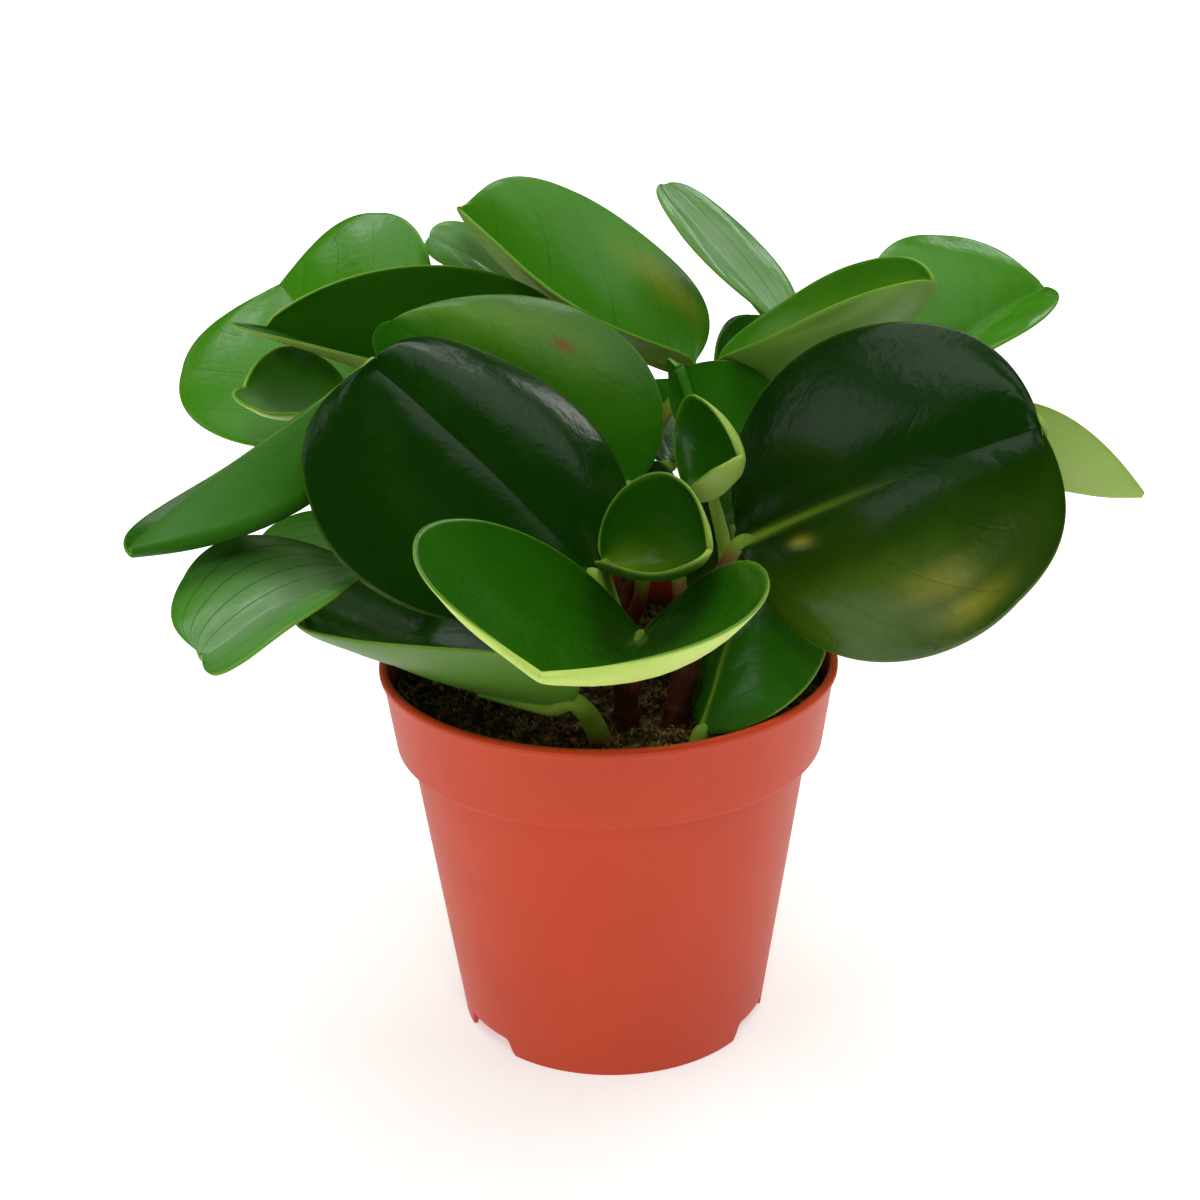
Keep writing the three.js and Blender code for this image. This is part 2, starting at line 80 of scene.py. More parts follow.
class Stain(Enum):
    """Kinds of patch on a blade, each kept in a mesh attribute of its own; the glow and the grey sheen are
    painted light.
    """

    # Painted light: the yellow glow of light shining through a thin leaf.
    GLOW = "glow"
    # Partly real yellowing, partly a painted golden sheen.
    GOLD = "gold"
    SCORCH = "scorch"
    # Painted reflection: the soft grey sheen of the softboxes in the wax.
    BLOOM = "bloom"


def unit(vectors: np.ndarray) -> np.ndarray:
    """Vectors scaled to length one along the last axis."""
    length = np.linalg.norm(vectors, axis=-1, keepdims=True)
    return vectors / np.maximum(length, 1e-12)


def smoothstep(low: float, high: float, value: np.ndarray) -> np.ndarray:
    """A step from 0 at low to 1 at high with level ends: 3 s squared minus 2 s cubed."""
    share = np.clip((value - low) / (high - low), 0.0, 1.0)
    return share * share * (3.0 - 2.0 * share)


def ring_angles(count: int) -> np.ndarray:
    """Evenly spaced angles round a circle."""
    return np.linspace(0.0, 2.0 * np.pi, count, endpoint=False)


def flat_circle(count: int) -> np.ndarray:
    """Evenly spaced points on the unit circle in the ground plane."""
    turn = ring_angles(count)
    return np.stack([np.cos(turn), np.sin(turn), 0 * turn], axis=1)


def ring_quads(number: np.ndarray) -> np.ndarray:
    """The quads between rings of points, from the points' numbers by ring."""
    beside = np.roll(number, -1, axis=1)
    return np.stack([number[:-1], beside[:-1], beside[1:], number[1:]], axis=-1).reshape(-1, 4)


def add_object(name: str, data: bpy.types.ID) -> bpy.types.Object:
    """Adds an object to the scene."""
    thing = bpy.data.objects.new(name, data)
    bpy.context.scene.collection.objects.link(thing)
    return thing


def smooth_path(points: np.ndarray, count: int) -> np.ndarray:
    """A curve through the points: a centripetal Catmull-Rom spline, spaced evenly along its length.

    Each span is three rounds of straight blending between four points, whose knots are the square roots
    of their distances.

    Args:
        points: The points that the curve passes, one per row.
        count: How many points to return.

    Returns:
        Points on the curve at equal distances.
    """
    padded = np.vstack([2 * points[0] - points[1], points, 2 * points[-1] - points[-2]])
    steps = np.sqrt(np.linalg.norm(np.diff(padded, axis=0), axis=1))
    knots = np.concatenate([[0.0], np.cumsum(steps)])
    place = np.linspace(knots[1], knots[-2], PATH_DENSITY * count)
    first = np.clip(np.searchsorted(knots, place, side="right") - 2, 0, len(points) - 2)
    p0, p1, p2, p3 = (padded[first + k] for k in range(4))
    t0, t1, t2, t3 = (knots[first + k] for k in range(4))

    def blend(start: np.ndarray, end: np.ndarray, low: np.ndarray, high: np.ndarray) -> np.ndarray:
        """The straight blend from start, at knot low, to end, at knot high."""
        return ((high - place)[:, None] * start + (place - low)[:, None] * end) / (high - low)[:, None]

    q1, q2, q3 = blend(p0, p1, t0, t1), blend(p1, p2, t1, t2), blend(p2, p3, t2, t3)
    curve = blend(blend(q1, q2, t0, t2), blend(q2, q3, t1, t3), t1, t2)
    along = np.concatenate([[0.0], np.cumsum(np.linalg.norm(np.diff(curve, axis=0), axis=1))])
    even = np.linspace(0.0, along[-1], count)
    return np.stack([np.interp(even, along, curve[:, k]) for k in range(3)], axis=1)


@dataclass
class Shell:
    """A closed surface in millimetres, with named values at its points.

    Attributes:
        points: One point per row.
        faces: Lists of point numbers.
        values: Point attributes by name.
    """

    points: np.ndarray
    faces: list[list[int]]
    values: dict[str, np.ndarray] = field(default_factory=dict)

    @classmethod
    def loft(cls, rings: np.ndarray, first: np.ndarray, last: np.ndarray, **values: np.ndarray) -> "Shell":
        """Skins a row of closed rings and closes both ends to a point.

        Args:
            rings: Points of shape rows, around, 3.
            first: The point that closes the first ring.
            last: The point that closes the last ring.
            values: Attributes of shape rows, around. The end points take their ring's mean.

        Returns:
            The closed shell, its faces outwards.
        """
        rows, around = rings.shape[:2]
        points = np.vstack([rings.reshape(-1, 3), first, last])
        number = np.arange(rows * around).reshape(rows, around)
        beside = np.roll(number, -1, axis=1)
        quads = ring_quads(number)
        ends = (np.full(around, rows * around), np.full(around, rows * around + 1))
        opening = np.stack([ends[0], beside[0], number[0]], axis=1)
        closing = np.stack([ends[1], number[-1], beside[-1]], axis=1)
        corners = points[quads]
        cross = np.cross(corners[:, 2] - corners[:, 0], corners[:, 3] - corners[:, 1])
        volume = np.sum((corners.mean(axis=1) - points.mean(axis=0)) * cross)
        faces = [*quads.tolist(), *opening.tolist(), *closing.tolist()]
        if volume < 0:
            faces = [face[::-1] for face in faces]
        kept = {}
        for name, value in values.items():
            spread = np.broadcast_to(value, (rows, around))
            kept[name] = np.concatenate([spread.ravel(), [spread[0].mean(), spread[-1].mean()]])
        return cls(points, faces, kept)

    @classmethod
    def joined(cls, shells: list["Shell"]) -> "Shell":
        """Several shells as one, each still closed in itself. A value that one lacks is 0 there."""
        names = sorted({name for shell in shells for name in shell.values})
        faces, start = [], 0
        for shell in shells:
            faces += [[number + start for number in face] for face in shell.faces]
            start += len(shell.points)
        values = {
            name: np.concatenate([s.values.get(name, np.zeros(len(s.points))) for s in shells])
            for name in names
        }
        return cls(np.vstack([s.points for s in shells]), faces, values)

    def to_mesh(self, name: str) -> bpy.types.Mesh:
        """Makes the shell a smooth-shaded mesh in metres, its values as point attributes."""
        mesh = bpy.data.meshes.new(name)
        mesh.from_pydata(self.points * MM, [], self.faces)
        for key, value in self.values.items():
            attribute = mesh.attributes.new(key, "FLOAT", "POINT")
            attribute.data.foreach_set("value", value.astype(np.float32))
        mesh.polygons.foreach_set("use_smooth", np.ones(len(mesh.polygons), dtype=bool))
        mesh.update()
        return mesh

    def to_object(self, name: str, material: bpy.types.Material) -> bpy.types.Object:
        """Makes the shell a Blender object that has the finish and rides on the part."""
        mesh = self.to_mesh(name)
        mesh.materials.append(material)
        piece = add_object(name, mesh)
        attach(piece, "root")
        LOG.info("%s: %d faces", name, len(mesh.polygons))
        return piece


def tube(path: np.ndarray, radius: np.ndarray, side: np.ndarray, sides: int, **values: np.ndarray) -> Shell:
    """A closed tube: at each point of the path a circle square to it. Its ends close a little past the path.

    Args:
        path: The tube's centreline.
        radius: Its radius at each point of the path, or at each point and angle.
        side: The direction in which each circle starts.
        sides: How many points each circle has.
        values: Attributes along the path.

    Returns:
        The closed tube.
    """
    ahead = unit(np.gradient(path, axis=0))
    across = unit(side - (ahead @ side)[:, None] * ahead)
    over = np.cross(ahead, across)
    angle = ring_angles(sides)[:, None]
    wide = radius if radius.ndim == 2 else radius[:, None]
    circle = np.cos(angle) * across[:, None] + np.sin(angle) * over[:, None]
    rings = path[:, None] + wide[..., None] * circle
    first = path[0] - TUBE_CAP * wide[0].mean() * ahead[0]
    last = path[-1] + TUBE_CAP * wide[-1].mean() * ahead[-1]
    return Shell.loft(rings, first, last, **{k: v[:, None] for k, v in values.items()})


def linear(code: str) -> tuple[float, float, float, float]:
    """An sRGB hex colour, such as C04A2A, as linear red, green, blue and alpha."""
    channels = np.array([int(code[k : k + 2], 16) for k in (0, 2, 4)]) / 255.0
    low, high = channels / 12.92, ((channels + 0.055) / 1.055) ** 2.4
    return (*np.where(channels <= 0.04045, low, high).tolist(), 1.0)


def add_node(tree: bpy.types.NodeTree, kind: str, inputs: dict | list = (),
             **settings: object) -> bpy.types.NodeSocket:
    """Adds a shader node, sets it up and links it.

    Args:
        tree: The node tree.
        kind: The node's type after ShaderNode.
        inputs: Output sockets to link or values to set, by input name or number, or in the inputs' order.
        settings: The node's own properties.

    Returns:
        The first output that is in use.
    """
    node = tree.nodes.new("ShaderNode" + kind)
    for name, value in settings.items():
        setattr(node, name, value)
    for key, value in inputs.items() if isinstance(inputs, dict) else enumerate(inputs):
        if isinstance(value, bpy.types.NodeSocket):
            tree.links.new(value, node.inputs[key])
        else:
            node.inputs[key].default_value = value
    return next((socket for socket in node.outputs if socket.enabled), None)


class Finish:
    """A finish: a material with a Principled shader. Its subclass says how the surface looks."""

    name: str

    def surface(self, tree: bpy.types.NodeTree, place: bpy.types.NodeSocket) -> dict:
        """Says what goes into the Principled shader.

        Args:
            tree: The material's nodes.
            place: The shaded point in object coordinates.

        Returns:
            Sockets and values by input name.
        """
        raise NotImplementedError

    def make(self) -> bpy.types.Material:
        """Builds the material."""
        material = bpy.data.materials.new(self.name)
        material.use_nodes = True
        tree = material.node_tree
        tree.nodes.clear()
        place = add_node(tree, "TexCoord").node.outputs["Object"]
        shader = add_node(tree, "BsdfPrincipled", self.surface(tree, place))
        add_node(tree, "OutputMaterial", {"Surface": shader})
        return material


@dataclass(frozen=True)
class Cuticle(Finish):
    """The waxed skin of a peperomia leaf: thick and glossy above, pale and dull below.

    The tissue under the skin is wet and lets light through. Patches lie over the green where it has yellowed
    or scarred, and painted ones stand in for light: a yellow glow where light shines through thin parts, a
    grey sheen where the softboxes reflect, and gold that is partly yellowing and partly painted sheen. Veins
    lie over them. The sunken veins break the gloss, and painted shade darkens them in fine lines, which are
    drawn 0.5 mm wide so that they show. Sizes and heights are in mm, and the veins' width is a share of their
    spacing.
    """

    name: str = "peperomia_cuticle"
    ages: tuple[str, ...] = ("0C2C02", "1E5404", "3A780E", "5C9420")
    age_mottle: float = 0.8
    below: str = "2A6204"
    pale: str = "C2D868"
    show_through: float = 0.3
    # The vein colour is painted shade: darker green in the sunken veins.
    vein_shade: str = "0E2E02"
    vein_shade_strength: float = 0.75
    vein_width: float = 0.035
    vein_relief: float = -0.6
    midrib: str = "7C9A2A"
    rim: str = "7FA02C"
    rim_strength: float = 0.45
    stalk: str = "6E8E26"
    stalk_foot: str = "5A2412"
    stalk_blend: float = 8.0
    # Patch colours: the glow is painted light through the leaf, the grey one painted sheen, gold partly
    # painted sheen, scorch real.
    stains: tuple[tuple[Stain, str], ...] = (
        (Stain.GLOW, "6A9006"), (Stain.GOLD, "96902A"), (Stain.SCORCH, "6A3414"), (Stain.BLOOM, "94A88C"),
    )
    stain_mottle: float = 1.2
    mottle_size: float = 14.0
    ripple_size: float = 2.4
    ripple_height: float = 0.12
    pore_size: float = 0.7
    pore_height: float = 0.012
    roughness: float = 0.17
    mottle_roughness: float = 0.1
    under_roughness: float = 0.28

    def surface(self, tree: bpy.types.NodeTree, place: bpy.types.NodeSocket) -> dict:
        """Layers the skin's colours by the masks in the mesh, and gives its gloss and fine relief.

        Args:
            tree: The material's nodes.
            place: The shaded point in object coordinates.

        Returns:
            Sockets and values by input name.
        """
        mottle, ripple, pores = (
            add_node(tree, "TexNoise", {"Vector": place, "Scale": 1 / (size * MM), "Detail": 3.0})
            for size in (self.mottle_size, self.ripple_size, self.pore_size)
        )
        named = ("age", "under", "rim", "midrib", "stalk", "crease", "ribs", "paleness")
        read = {
            name: add_node(tree, "Attribute", attribute_name=name).node.outputs["Fac"]
            for name in (*named, *(stain.value for stain, _ in self.stains))
        }

        steps = len(self.ages) - 1
        centring = -0.5 * self.age_mottle / steps
        shifted = add_node(tree, "Math", [mottle, self.age_mottle, read["age"]], operation="MULTIPLY_ADD")
        share = add_node(tree, "Math", [shifted, 1 / steps, centring], operation="MULTIPLY_ADD")
        above = add_node(tree, "ValToRGB", [share])
        ramp = above.node.color_ramp
        ramp.interpolation = "EASE"
        for step in range(1, steps):
            ramp.elements.new(step / steps)
        for stop, code in zip(ramp.elements, self.ages):
            stop.color = linear(code)

        least = 1.0 - 0.5 * self.stain_mottle
        patchy = add_node(tree, "Math", [mottle, self.stain_mottle, least], operation="MULTIPLY_ADD")
        # Layers the patches, among them the painted glow and the painted sheen.
        layers = [
            (add_node(tree, "Math", [read[stain.value], patchy], operation="MULTIPLY"), code)
            for stain, code in self.stains
        ]
        away = add_node(tree, "Math", [read["crease"], 0.5], operation="PINGPONG")
        line = add_node(tree, "MapRange", [away, 0.0, self.vein_width, 1.0, 0.0],
                        interpolation_type="SMOOTHSTEP")
        line = add_node(tree, "Math", [line, read["ribs"]], operation="MULTIPLY")
        # Painted shade: the vein lines are mixed in darker green.
        drawn = add_node(tree, "Math", [line, self.vein_shade_strength], operation="MULTIPLY")
        for factor, code in (*layers, (drawn, self.vein_shade), (read["midrib"], self.midrib)):
            above = add_node(tree, "Mix", {0: factor, 6: above, 7: linear(code)}, data_type="RGBA")

        below = add_node(tree, "Mix", {0: read["paleness"], 6: linear(self.below), 7: linear(self.pale)},
                         data_type="RGBA")
        through = add_node(tree, "Math", [mottle, self.show_through], operation="MULTIPLY")
        below = add_node(tree, "Mix", {0: through, 6: below, 7: above}, data_type="RGBA")
        skin = add_node(tree, "Mix", {0: read["under"], 6: above, 7: below}, data_type="RGBA")
        edge = add_node(tree, "Math", [read["rim"], self.rim_strength], operation="MULTIPLY")
        stalk = add_node(tree, "Math", [read["stalk"], self.stalk_blend], operation="MULTIPLY")
        foot = add_node(tree, "Math", [read["stalk"], self.stalk_blend, 1.0 - self.stalk_blend],
                        operation="MULTIPLY_ADD")
        for factor, code in ((edge, self.rim), (stalk, self.stalk), (foot, self.stalk_foot)):
            skin = add_node(tree, "Mix", {0: factor, 6: skin, 7: linear(code)}, data_type="RGBA")

        rough = add_node(tree, "Math", [read["under"], self.under_roughness, self.roughness],
                         operation="MULTIPLY_ADD")
        rough = add_node(tree, "Math", [mottle, self.mottle_roughness, rough], operation="MULTIPLY_ADD")
        relief = add_node(tree, "Math", [line, self.vein_relief, ripple], operation="MULTIPLY_ADD")
        normal = add_node(tree, "Bump", {"Height": relief, "Distance": self.ripple_height * MM})
        normal = {"Height": pores, "Distance": self.pore_height * MM, "Normal": normal}
        normal = add_node(tree, "Bump", normal)
        return {
            "Base Color": skin,
            "Roughness": rough,
            "Normal": normal,
            "Subsurface Weight": 0.25,
            "Subsurface Radius": (0.6, 1.0, 0.1),
            "Subsurface Scale": 1.5 * MM,
            "IOR": 1.43,
        }


@dataclass(frozen=True)
class Polypropylene(Finish):
    """Injection moulded polypropylene, terracotta coloured: an even satin skin, a little see-through.

    Its two shades blend as the melt flowed, and peat dust with painted shade darkens its inside. Sizes are in
    mm.
    """

    name: str = "moulded_polypropylene"
    body: str = "C63E12"
    shade: str = "B6340E"
    dust_and_shade: str = "4A1C0C"
    flow_size: float = 30.0
    flow_roughness: float = 0.1
    roughness: float = 0.42
    grain_size: float = 0.6
    grain_height: float = 0.008

    def surface(self, tree: bpy.types.NodeTree, place: bpy.types.NodeSocket) -> dict:
        """Blends the shades, lays the dust and painted shade on and gives the moulded grain: see
        Finish.surface.
        """
        flow, grain = (
            add_node(tree, "TexNoise", {"Vector": place, "Scale": 1 / (size * MM), "Detail": 3.0})
            for size in (self.flow_size, self.grain_size)
        )
        inside = add_node(tree, "Attribute", attribute_name="inside").node.outputs["Fac"]
        colour = linear(self.body)
        for factor, code in ((flow, self.shade), (inside, self.dust_and_shade)):
            colour = add_node(tree, "Mix", {0: factor, 6: colour, 7: linear(code)}, data_type="RGBA")
        rough = add_node(tree, "Math", [flow, self.flow_roughness, self.roughness], operation="MULTIPLY_ADD")
        normal = add_node(tree, "Bump", {"Height": grain, "Distance": self.grain_height * MM})
        return {
            "Base Color": colour,
            "Roughness": rough,
            "Normal": normal,
            "Subsurface Weight": 0.08,
            "Subsurface Radius": (1.0, 0.4, 0.2),
            "Subsurface Scale": MM,
            "IOR": 1.42,
        }


@dataclass(frozen=True)
class Speckled(Finish):
    """A natural stuff in two colours, which blend by noise and by each bit's own shade. Sizes are in mm."""

    name: str
    dark: str
    light: str
    size: float
    relief: float
    contrast: float = 0.9
    darkness: float = 0.35
    roughness: float = 0.9

    def surface(self, tree: bpy.types.NodeTree, place: bpy.types.NodeSocket) -> dict:
        """Blends the two colours and gives the relief: see Finish.surface."""
        grain = add_node(tree, "TexNoise", {"Vector": place, "Scale": 1 / (self.size * MM), "Detail": 6.0})
        shade = add_node(tree, "Attribute", attribute_name="shade").node.outputs["Fac"]
        share = add_node(tree, "Math", [grain, self.contrast, shade], operation="MULTIPLY_ADD")
        share = add_node(tree, "Math", [share, self.darkness], operation="SUBTRACT")
        colour = add_node(tree, "Mix", {0: share, 6: linear(self.dark), 7: linear(self.light)},
                          data_type="RGBA")
        normal = add_node(tree, "Bump", {"Height": grain, "Distance": self.relief * MM})
        return {"Base Color": colour, "Normal": normal, "Roughness": self.roughness}


@dataclass(frozen=True)
class YoungBark(Finish):
    """The skin of a young peperomia stem: red-brown and matte, greener towards the growing tip.

    Its streaks run along the stem. Sizes are in mm.
    """

    name: str = "young_stem_bark"
    dark: str = "200C07"
    light: str = "5C2414"
    green: str = "4E6A22"
    streak_size: float = 3.0
    streak_stretch: float = 0.25
    relief: float = 0.3

    def surface(self, tree: bpy.types.NodeTree, place: bpy.types.NodeSocket) -> dict:
        """Blends the streaks and the green and gives the relief: see Finish.surface."""
        drawn = add_node(tree, "Mapping", {"Vector": place, "Scale": (1.0, 1.0, self.streak_stretch)})
        scale = 1 / (self.streak_size * MM)
        streaks = add_node(tree, "TexNoise", {"Vector": drawn, "Scale": scale, "Detail": 5.0})
        green = add_node(tree, "Attribute", attribute_name="green").node.outputs["Fac"]
        colour = linear(self.dark)
        for factor, code in ((streaks, self.light), (green, self.green)):
            colour = add_node(tree, "Mix", {0: factor, 6: colour, 7: linear(code)}, data_type="RGBA")
        normal = add_node(tree, "Bump", {"Height": streaks, "Distance": self.relief * MM})
        return {"Base Color": colour, "Normal": normal, "Roughness": 0.5}


@dataclass(frozen=True)
class SeamlessPaper(Finish):
    """Seamless background paper: matte and white.

    It glows a little more away from the pot, as paper does that is lit from all round, so that it fills the
    view evenly. The distances between which the glow grows are in metres.
    """

    name: str = "seamless_paper"
    colour: str = "D8D8D6"
    glow: str = "FFFFFF"
    glow_grows: tuple[float, float] = (0.1, 1.0)
    glow_strengths: tuple[float, float] = (0.5, 1.0)

    def surface(self, tree: bpy.types.NodeTree, place: bpy.types.NodeSocket) -> dict:
        """Gives the matte white and the glow: see Finish.surface."""
        away = add_node(tree, "VectorMath", [place], operation="LENGTH").node.outputs["Value"]
        glow = add_node(tree, "MapRange", [away, *self.glow_grows, *self.glow_strengths])
        return {
            "Base Color": linear(self.colour),
            "Roughness": 0.95,
            "Emission Color": linear(self.glow),
            "Emission Strength": glow,
        }


@dataclass(frozen=True)
class Patch:
    """A patch on a blade: a real discolouring, a painted glow of light through it, or a painted sheen.

    Attributes:
        stain: What kind it is.
        along: Its place from the base, 0, to the tip, 1.
        across: Its place from the right rim, -1, over the midrib to the left rim, 1.
        size: Its radius in the same shares.
        strength: How strong it is in its middle.
    """

    stain: Stain
    along: float
    across: float
    size: float
    strength: float = 0.5

    def mask(self, along: np.ndarray, across: np.ndarray) -> np.ndarray:
        """How strong the patch is at places on the blade: a bell of the distance from its middle."""
        distance = ((along - self.along) / self.size) ** 2 + ((across - self.across) / self.size) ** 2
        return self.strength * np.exp(-distance)


@dataclass
class Stem:
    """A thick stem: a tube that narrows upwards, with a swollen ring at each leaf scar.

    Attributes:
        name: The node's name after stem_.
        through: The points that its axis passes.
    """

    name: str
    through: list[tuple[float, float, float]]
    radius: float = 4.8
    tip_radius: float = 3.2
    rows: int = 120
    sides: int = 28
    scar_spacing: float = 9.0
    scar_width: float = 0.9
    scar_swell: float = 0.35
    unevenness: float = 0.16
    turns_green: tuple[float, float] = (112.0, 140.0)

    @cached_property
    def axis(self) -> np.ndarray:
        """The axis as evenly spaced points."""
        return smooth_path(np.array(self.through, dtype=float), self.rows)

    def at(self, height: float) -> np.ndarray:
        """The axis point at a height."""
        return np.array([np.interp(height, self.axis[:, 2], self.axis[:, k]) for k in range(3)])

    def build(self, bark: bpy.types.Material) -> None:
        """Builds the stem in place of its node.

        The radius falls evenly to the tip. Narrow bells of the height swell it at the leaf scars, and low
        waves round it make it uneven, both inwards so that it stays in its socket.

        Args:
            bark: The stem's finish.
        """
        share = np.linspace(0.0, 1.0, self.rows)[:, None]
        angle = ring_angles(self.sides)[None]
        height = self.axis[:, 2:]
        phase = height / self.scar_spacing
        scar = np.exp(-(((phase - np.round(phase)) * self.scar_spacing / self.scar_width) ** 2))
        waves = np.sin(3 * angle + 0.35 * height) + np.sin(5 * angle - 0.6 * height)
        radius = self.radius + (self.tip_radius - self.radius) * share
        radius = radius + self.scar_swell * (scar - 1.0) + self.unevenness * (waves - 2.0)
        green = smoothstep(*self.turns_green, self.axis[:, 2])
        shell = tube(self.axis, radius, np.array([1.0, 0.0, 0.0]), self.sides, green=green)
        piece = shell.to_object("stem_" + self.name + "_bark", bark)
        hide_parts("stem_" + self.name)


@dataclass
class Leaf:
    """A fleshy leaf: its blade and its petiole.

    The midrib is an arc over the chord from base to tip. Each half spans from it towards its own widest
    point, left or right of the midrib as seen from above with the tip ahead.

    Attributes:
        name: The node's name.
        start: A stem's name and the height where the petiole leaves it, or a point in the soil.
        via: Points that the petiole passes.
        base: Where the blade starts.
        tip: Where it ends.
        left: The left half's widest point.
        right: The right half's widest point.
        arch: How far the midrib rises over its chord.
        bow: How far each half bulges, as a share of its width.
        opened: How far each half turns outwards towards the tip, as a share of its width.
        taper: How much the outline narrows at the base.
        sharp: How pointed the tip is, from 0 for a round and notched one.
        age: How dark it is.
        ribs: How deep the lateral veins are impressed.
        veins: How the lateral veins run.
        midrib_shows: How pale the midrib is, and how far along the blade it shows.
        paleness: How pale the underside is, from 0 to 1.
        patches: Its patches: real discolourings, and painted glow and sheen.
        stalk: The petiole's radius.
        lobes: How far each half runs ahead of the midrib's end, as a share of the chord. Where it isn't
            given, both halves of a round tip run a little ahead.
        valley: How deep the crease at the midrib is.
    """

    name: str
    start: tuple
    via: list[tuple[float, float, float]]
    base: tuple[float, float, float]
    tip: tuple[float, float, float]
    left: tuple[float, float, float]
    right: tuple[float, float, float]
    arch: float = 0.0
    bow: tuple[float, float] = (0.05, 0.05)
    opened: tuple[float, float] = (0.2, 0.2)
    taper: float = 0.35
    sharp: float = 0.0
    age: Age = Age.MATURE
    ribs: float = 0.08
    veins: Veins = Veins.FEATHERED
    midrib_shows: tuple[float, float] = (0.25, 0.4)
    paleness: float = 0.4
    patches: tuple[Patch, ...] = ()
    stalk: float = 2.1
    lobes: tuple[float, float] | None = None
    valley: float = 0.9

    # The same for all leaves. Lengths are in mm, and shares are of the blade's length or width.
    widest = 0.526
    skew = 1.08
    fullness = 0.8
    lobe_start = 0.7
    even_lobe = 0.033
    thickness = 1.5
    rim_thickness = 0.9
    base_opens = 0.05
    tip_closes = 0.97
    fold = 0.02
    small = 48.0
    grid = (104, 18)
    small_grid = (64, 12)
    vein_count = 5.5
    vein_sweep = 0.38
    vein_curve = 1.3
    vein_fade = (0.12, 0.8, 0.1)
    rib_count = 5.4
    rib_curve = 0.9
    groove = 0.11
    drawn_ribs = 0.6
    midrib_width = 0.8
    rim_width = 0.3
    valley_reach = 15.0
    valley_full = 20.0
    rounding = 0.55
    rim_wave = 0.5
    rim_waves = (1.2, 2.2)
    dent = 0.07
    dent_count = 4
    dent_margin = 3.0
    keel = 0.7
    keel_width = 1.8
    petiole_end = 0.8
    petiole_rows = 60
    petiole_sides = 20
    petiole_places = (0.14, 0.26, 0.38)
    petiole_drop = 0.4
    stalk_fade = (1.35, -0.1)

    @cached_property
    def chord(self) -> np.ndarray:
        """The straight line from base to tip."""
        return np.subtract(self.tip, self.base).astype(float)

    @cached_property
    def spans(self) -> tuple[np.ndarray, np.ndarray, np.ndarray]:
        """Works out how the halves span from the midrib.

        The upward direction depends on the spans, and the spans on it through the arch, so both are worked
        out three times.

        Returns:
            The two spans, their normals and the upward direction.
        """
        ahead, up = unit(self.chord), UP
        u = 0.5 - 0.5 * np.cos(np.pi * self.widest)
        for lift in (0.0, self.arch, self.arch):
            middle = np.add(self.base, u * self.chord) + 4 * u * (1 - u) * lift * up
            spans = np.array([self.left, self.right]) - middle
            normals = unit(np.array([np.cross(ahead, spans[0]), np.cross(spans[1], ahead)]))
            up = unit(normals.sum(axis=0))
        return spans, normals, up

    def midrib(self, t: np.ndarray) -> np.ndarray:
        """Points of the midrib: the chord, spaced by a cosine, plus a parabola of the arch's height."""
        u = (0.5 - 0.5 * np.cos(np.pi * t))[..., None]
        return np.array(self.base) + u * self.chord + 4 * u * (1 - u) * self.arch * self.spans[2]

    def width(self, t: np.ndarray) -> np.ndarray:
        """The outline's width from 0 to 1: a sine of the skewed place, made squarer, narrowed at the base
        and, where the tip is sharp, by a parabola past the widest place."""
        round_part = np.clip(np.sin(np.pi * t**self.skew), 0.0, 1.0) ** self.fullness
        past = np.clip((t - self.widest) / (1.0 - self.widest), 0.0, 1.0)
        return round_part * (1.0 - self.taper * (1.0 - t) ** 4) * (1.0 - past**2) ** self.sharp

    def surface(self, t: np.ndarray, v: np.ndarray) -> np.ndarray:
        """The blade's upper surface.

        Each half is its span times the outline's width, plus a parabola across it for the bow, less a tilt
        that grows towards the tip. The fold at the midrib is rounded by a hyperbola in place of a corner.
        Two lobes run ahead of a round tip, so that it is notched.

        Args:
            t: Places along the blade, 0 to 1.
            v: Places across it, -1 at the right rim to 1 at the left.

        Returns:
            The points.
        """
        spans, normals, _ = self.spans
        g = self.width(t)
        points = self.midrib(t)
        for k, side in enumerate((1.0, -1.0)):
            q = 0.5 * (side * v + np.sqrt(v * v + self.fold**2)) - 0.25 * self.fold**2
            size = np.linalg.norm(spans[k])
            lift = self.bow[k] * 4 * q * (1 - q) - self.opened[k] * (t - self.widest) * q
            points = points + (q * g)[..., None] * spans[k] + (lift * size * g)[..., None] * normals[k]
        lobe = np.sin(np.pi * np.clip((t - self.lobe_start) / (1 - self.lobe_start), 0.0, 1.0))
        lobes = self.lobes or (self.even_lobe * (1.0 - self.sharp),) * 2
        ahead = np.where(v > 0, *lobes) * lobe * np.abs(v)
        return points + ahead[..., None] * self.chord

    def crease(self, t: np.ndarray, v: np.ndarray) -> np.ndarray:
        """A field whose whole numbers are the lateral veins.

        Feathered veins leave the midrib evenly and run forward by a power of the way to the rim. Lengthwise
        ones keep their share of the way to the rim.
        """
        if self.veins is Veins.LENGTHWISE:
            return self.rib_count * np.abs(v) ** self.rib_curve + 0 * t
        return self.vein_count * (t - self.vein_sweep * np.abs(v) ** self.vein_curve)

    @staticmethod
    def normals(face: np.ndarray) -> np.ndarray:
        """Unit vectors square to a face, from the differences between its points. Each end row takes its
        neighbour's."""
        normal = np.cross(np.gradient(face, axis=0), np.gradient(face, axis=1))
        normal[0], normal[-1] = normal[1], normal[-2]
        return unit(normal)

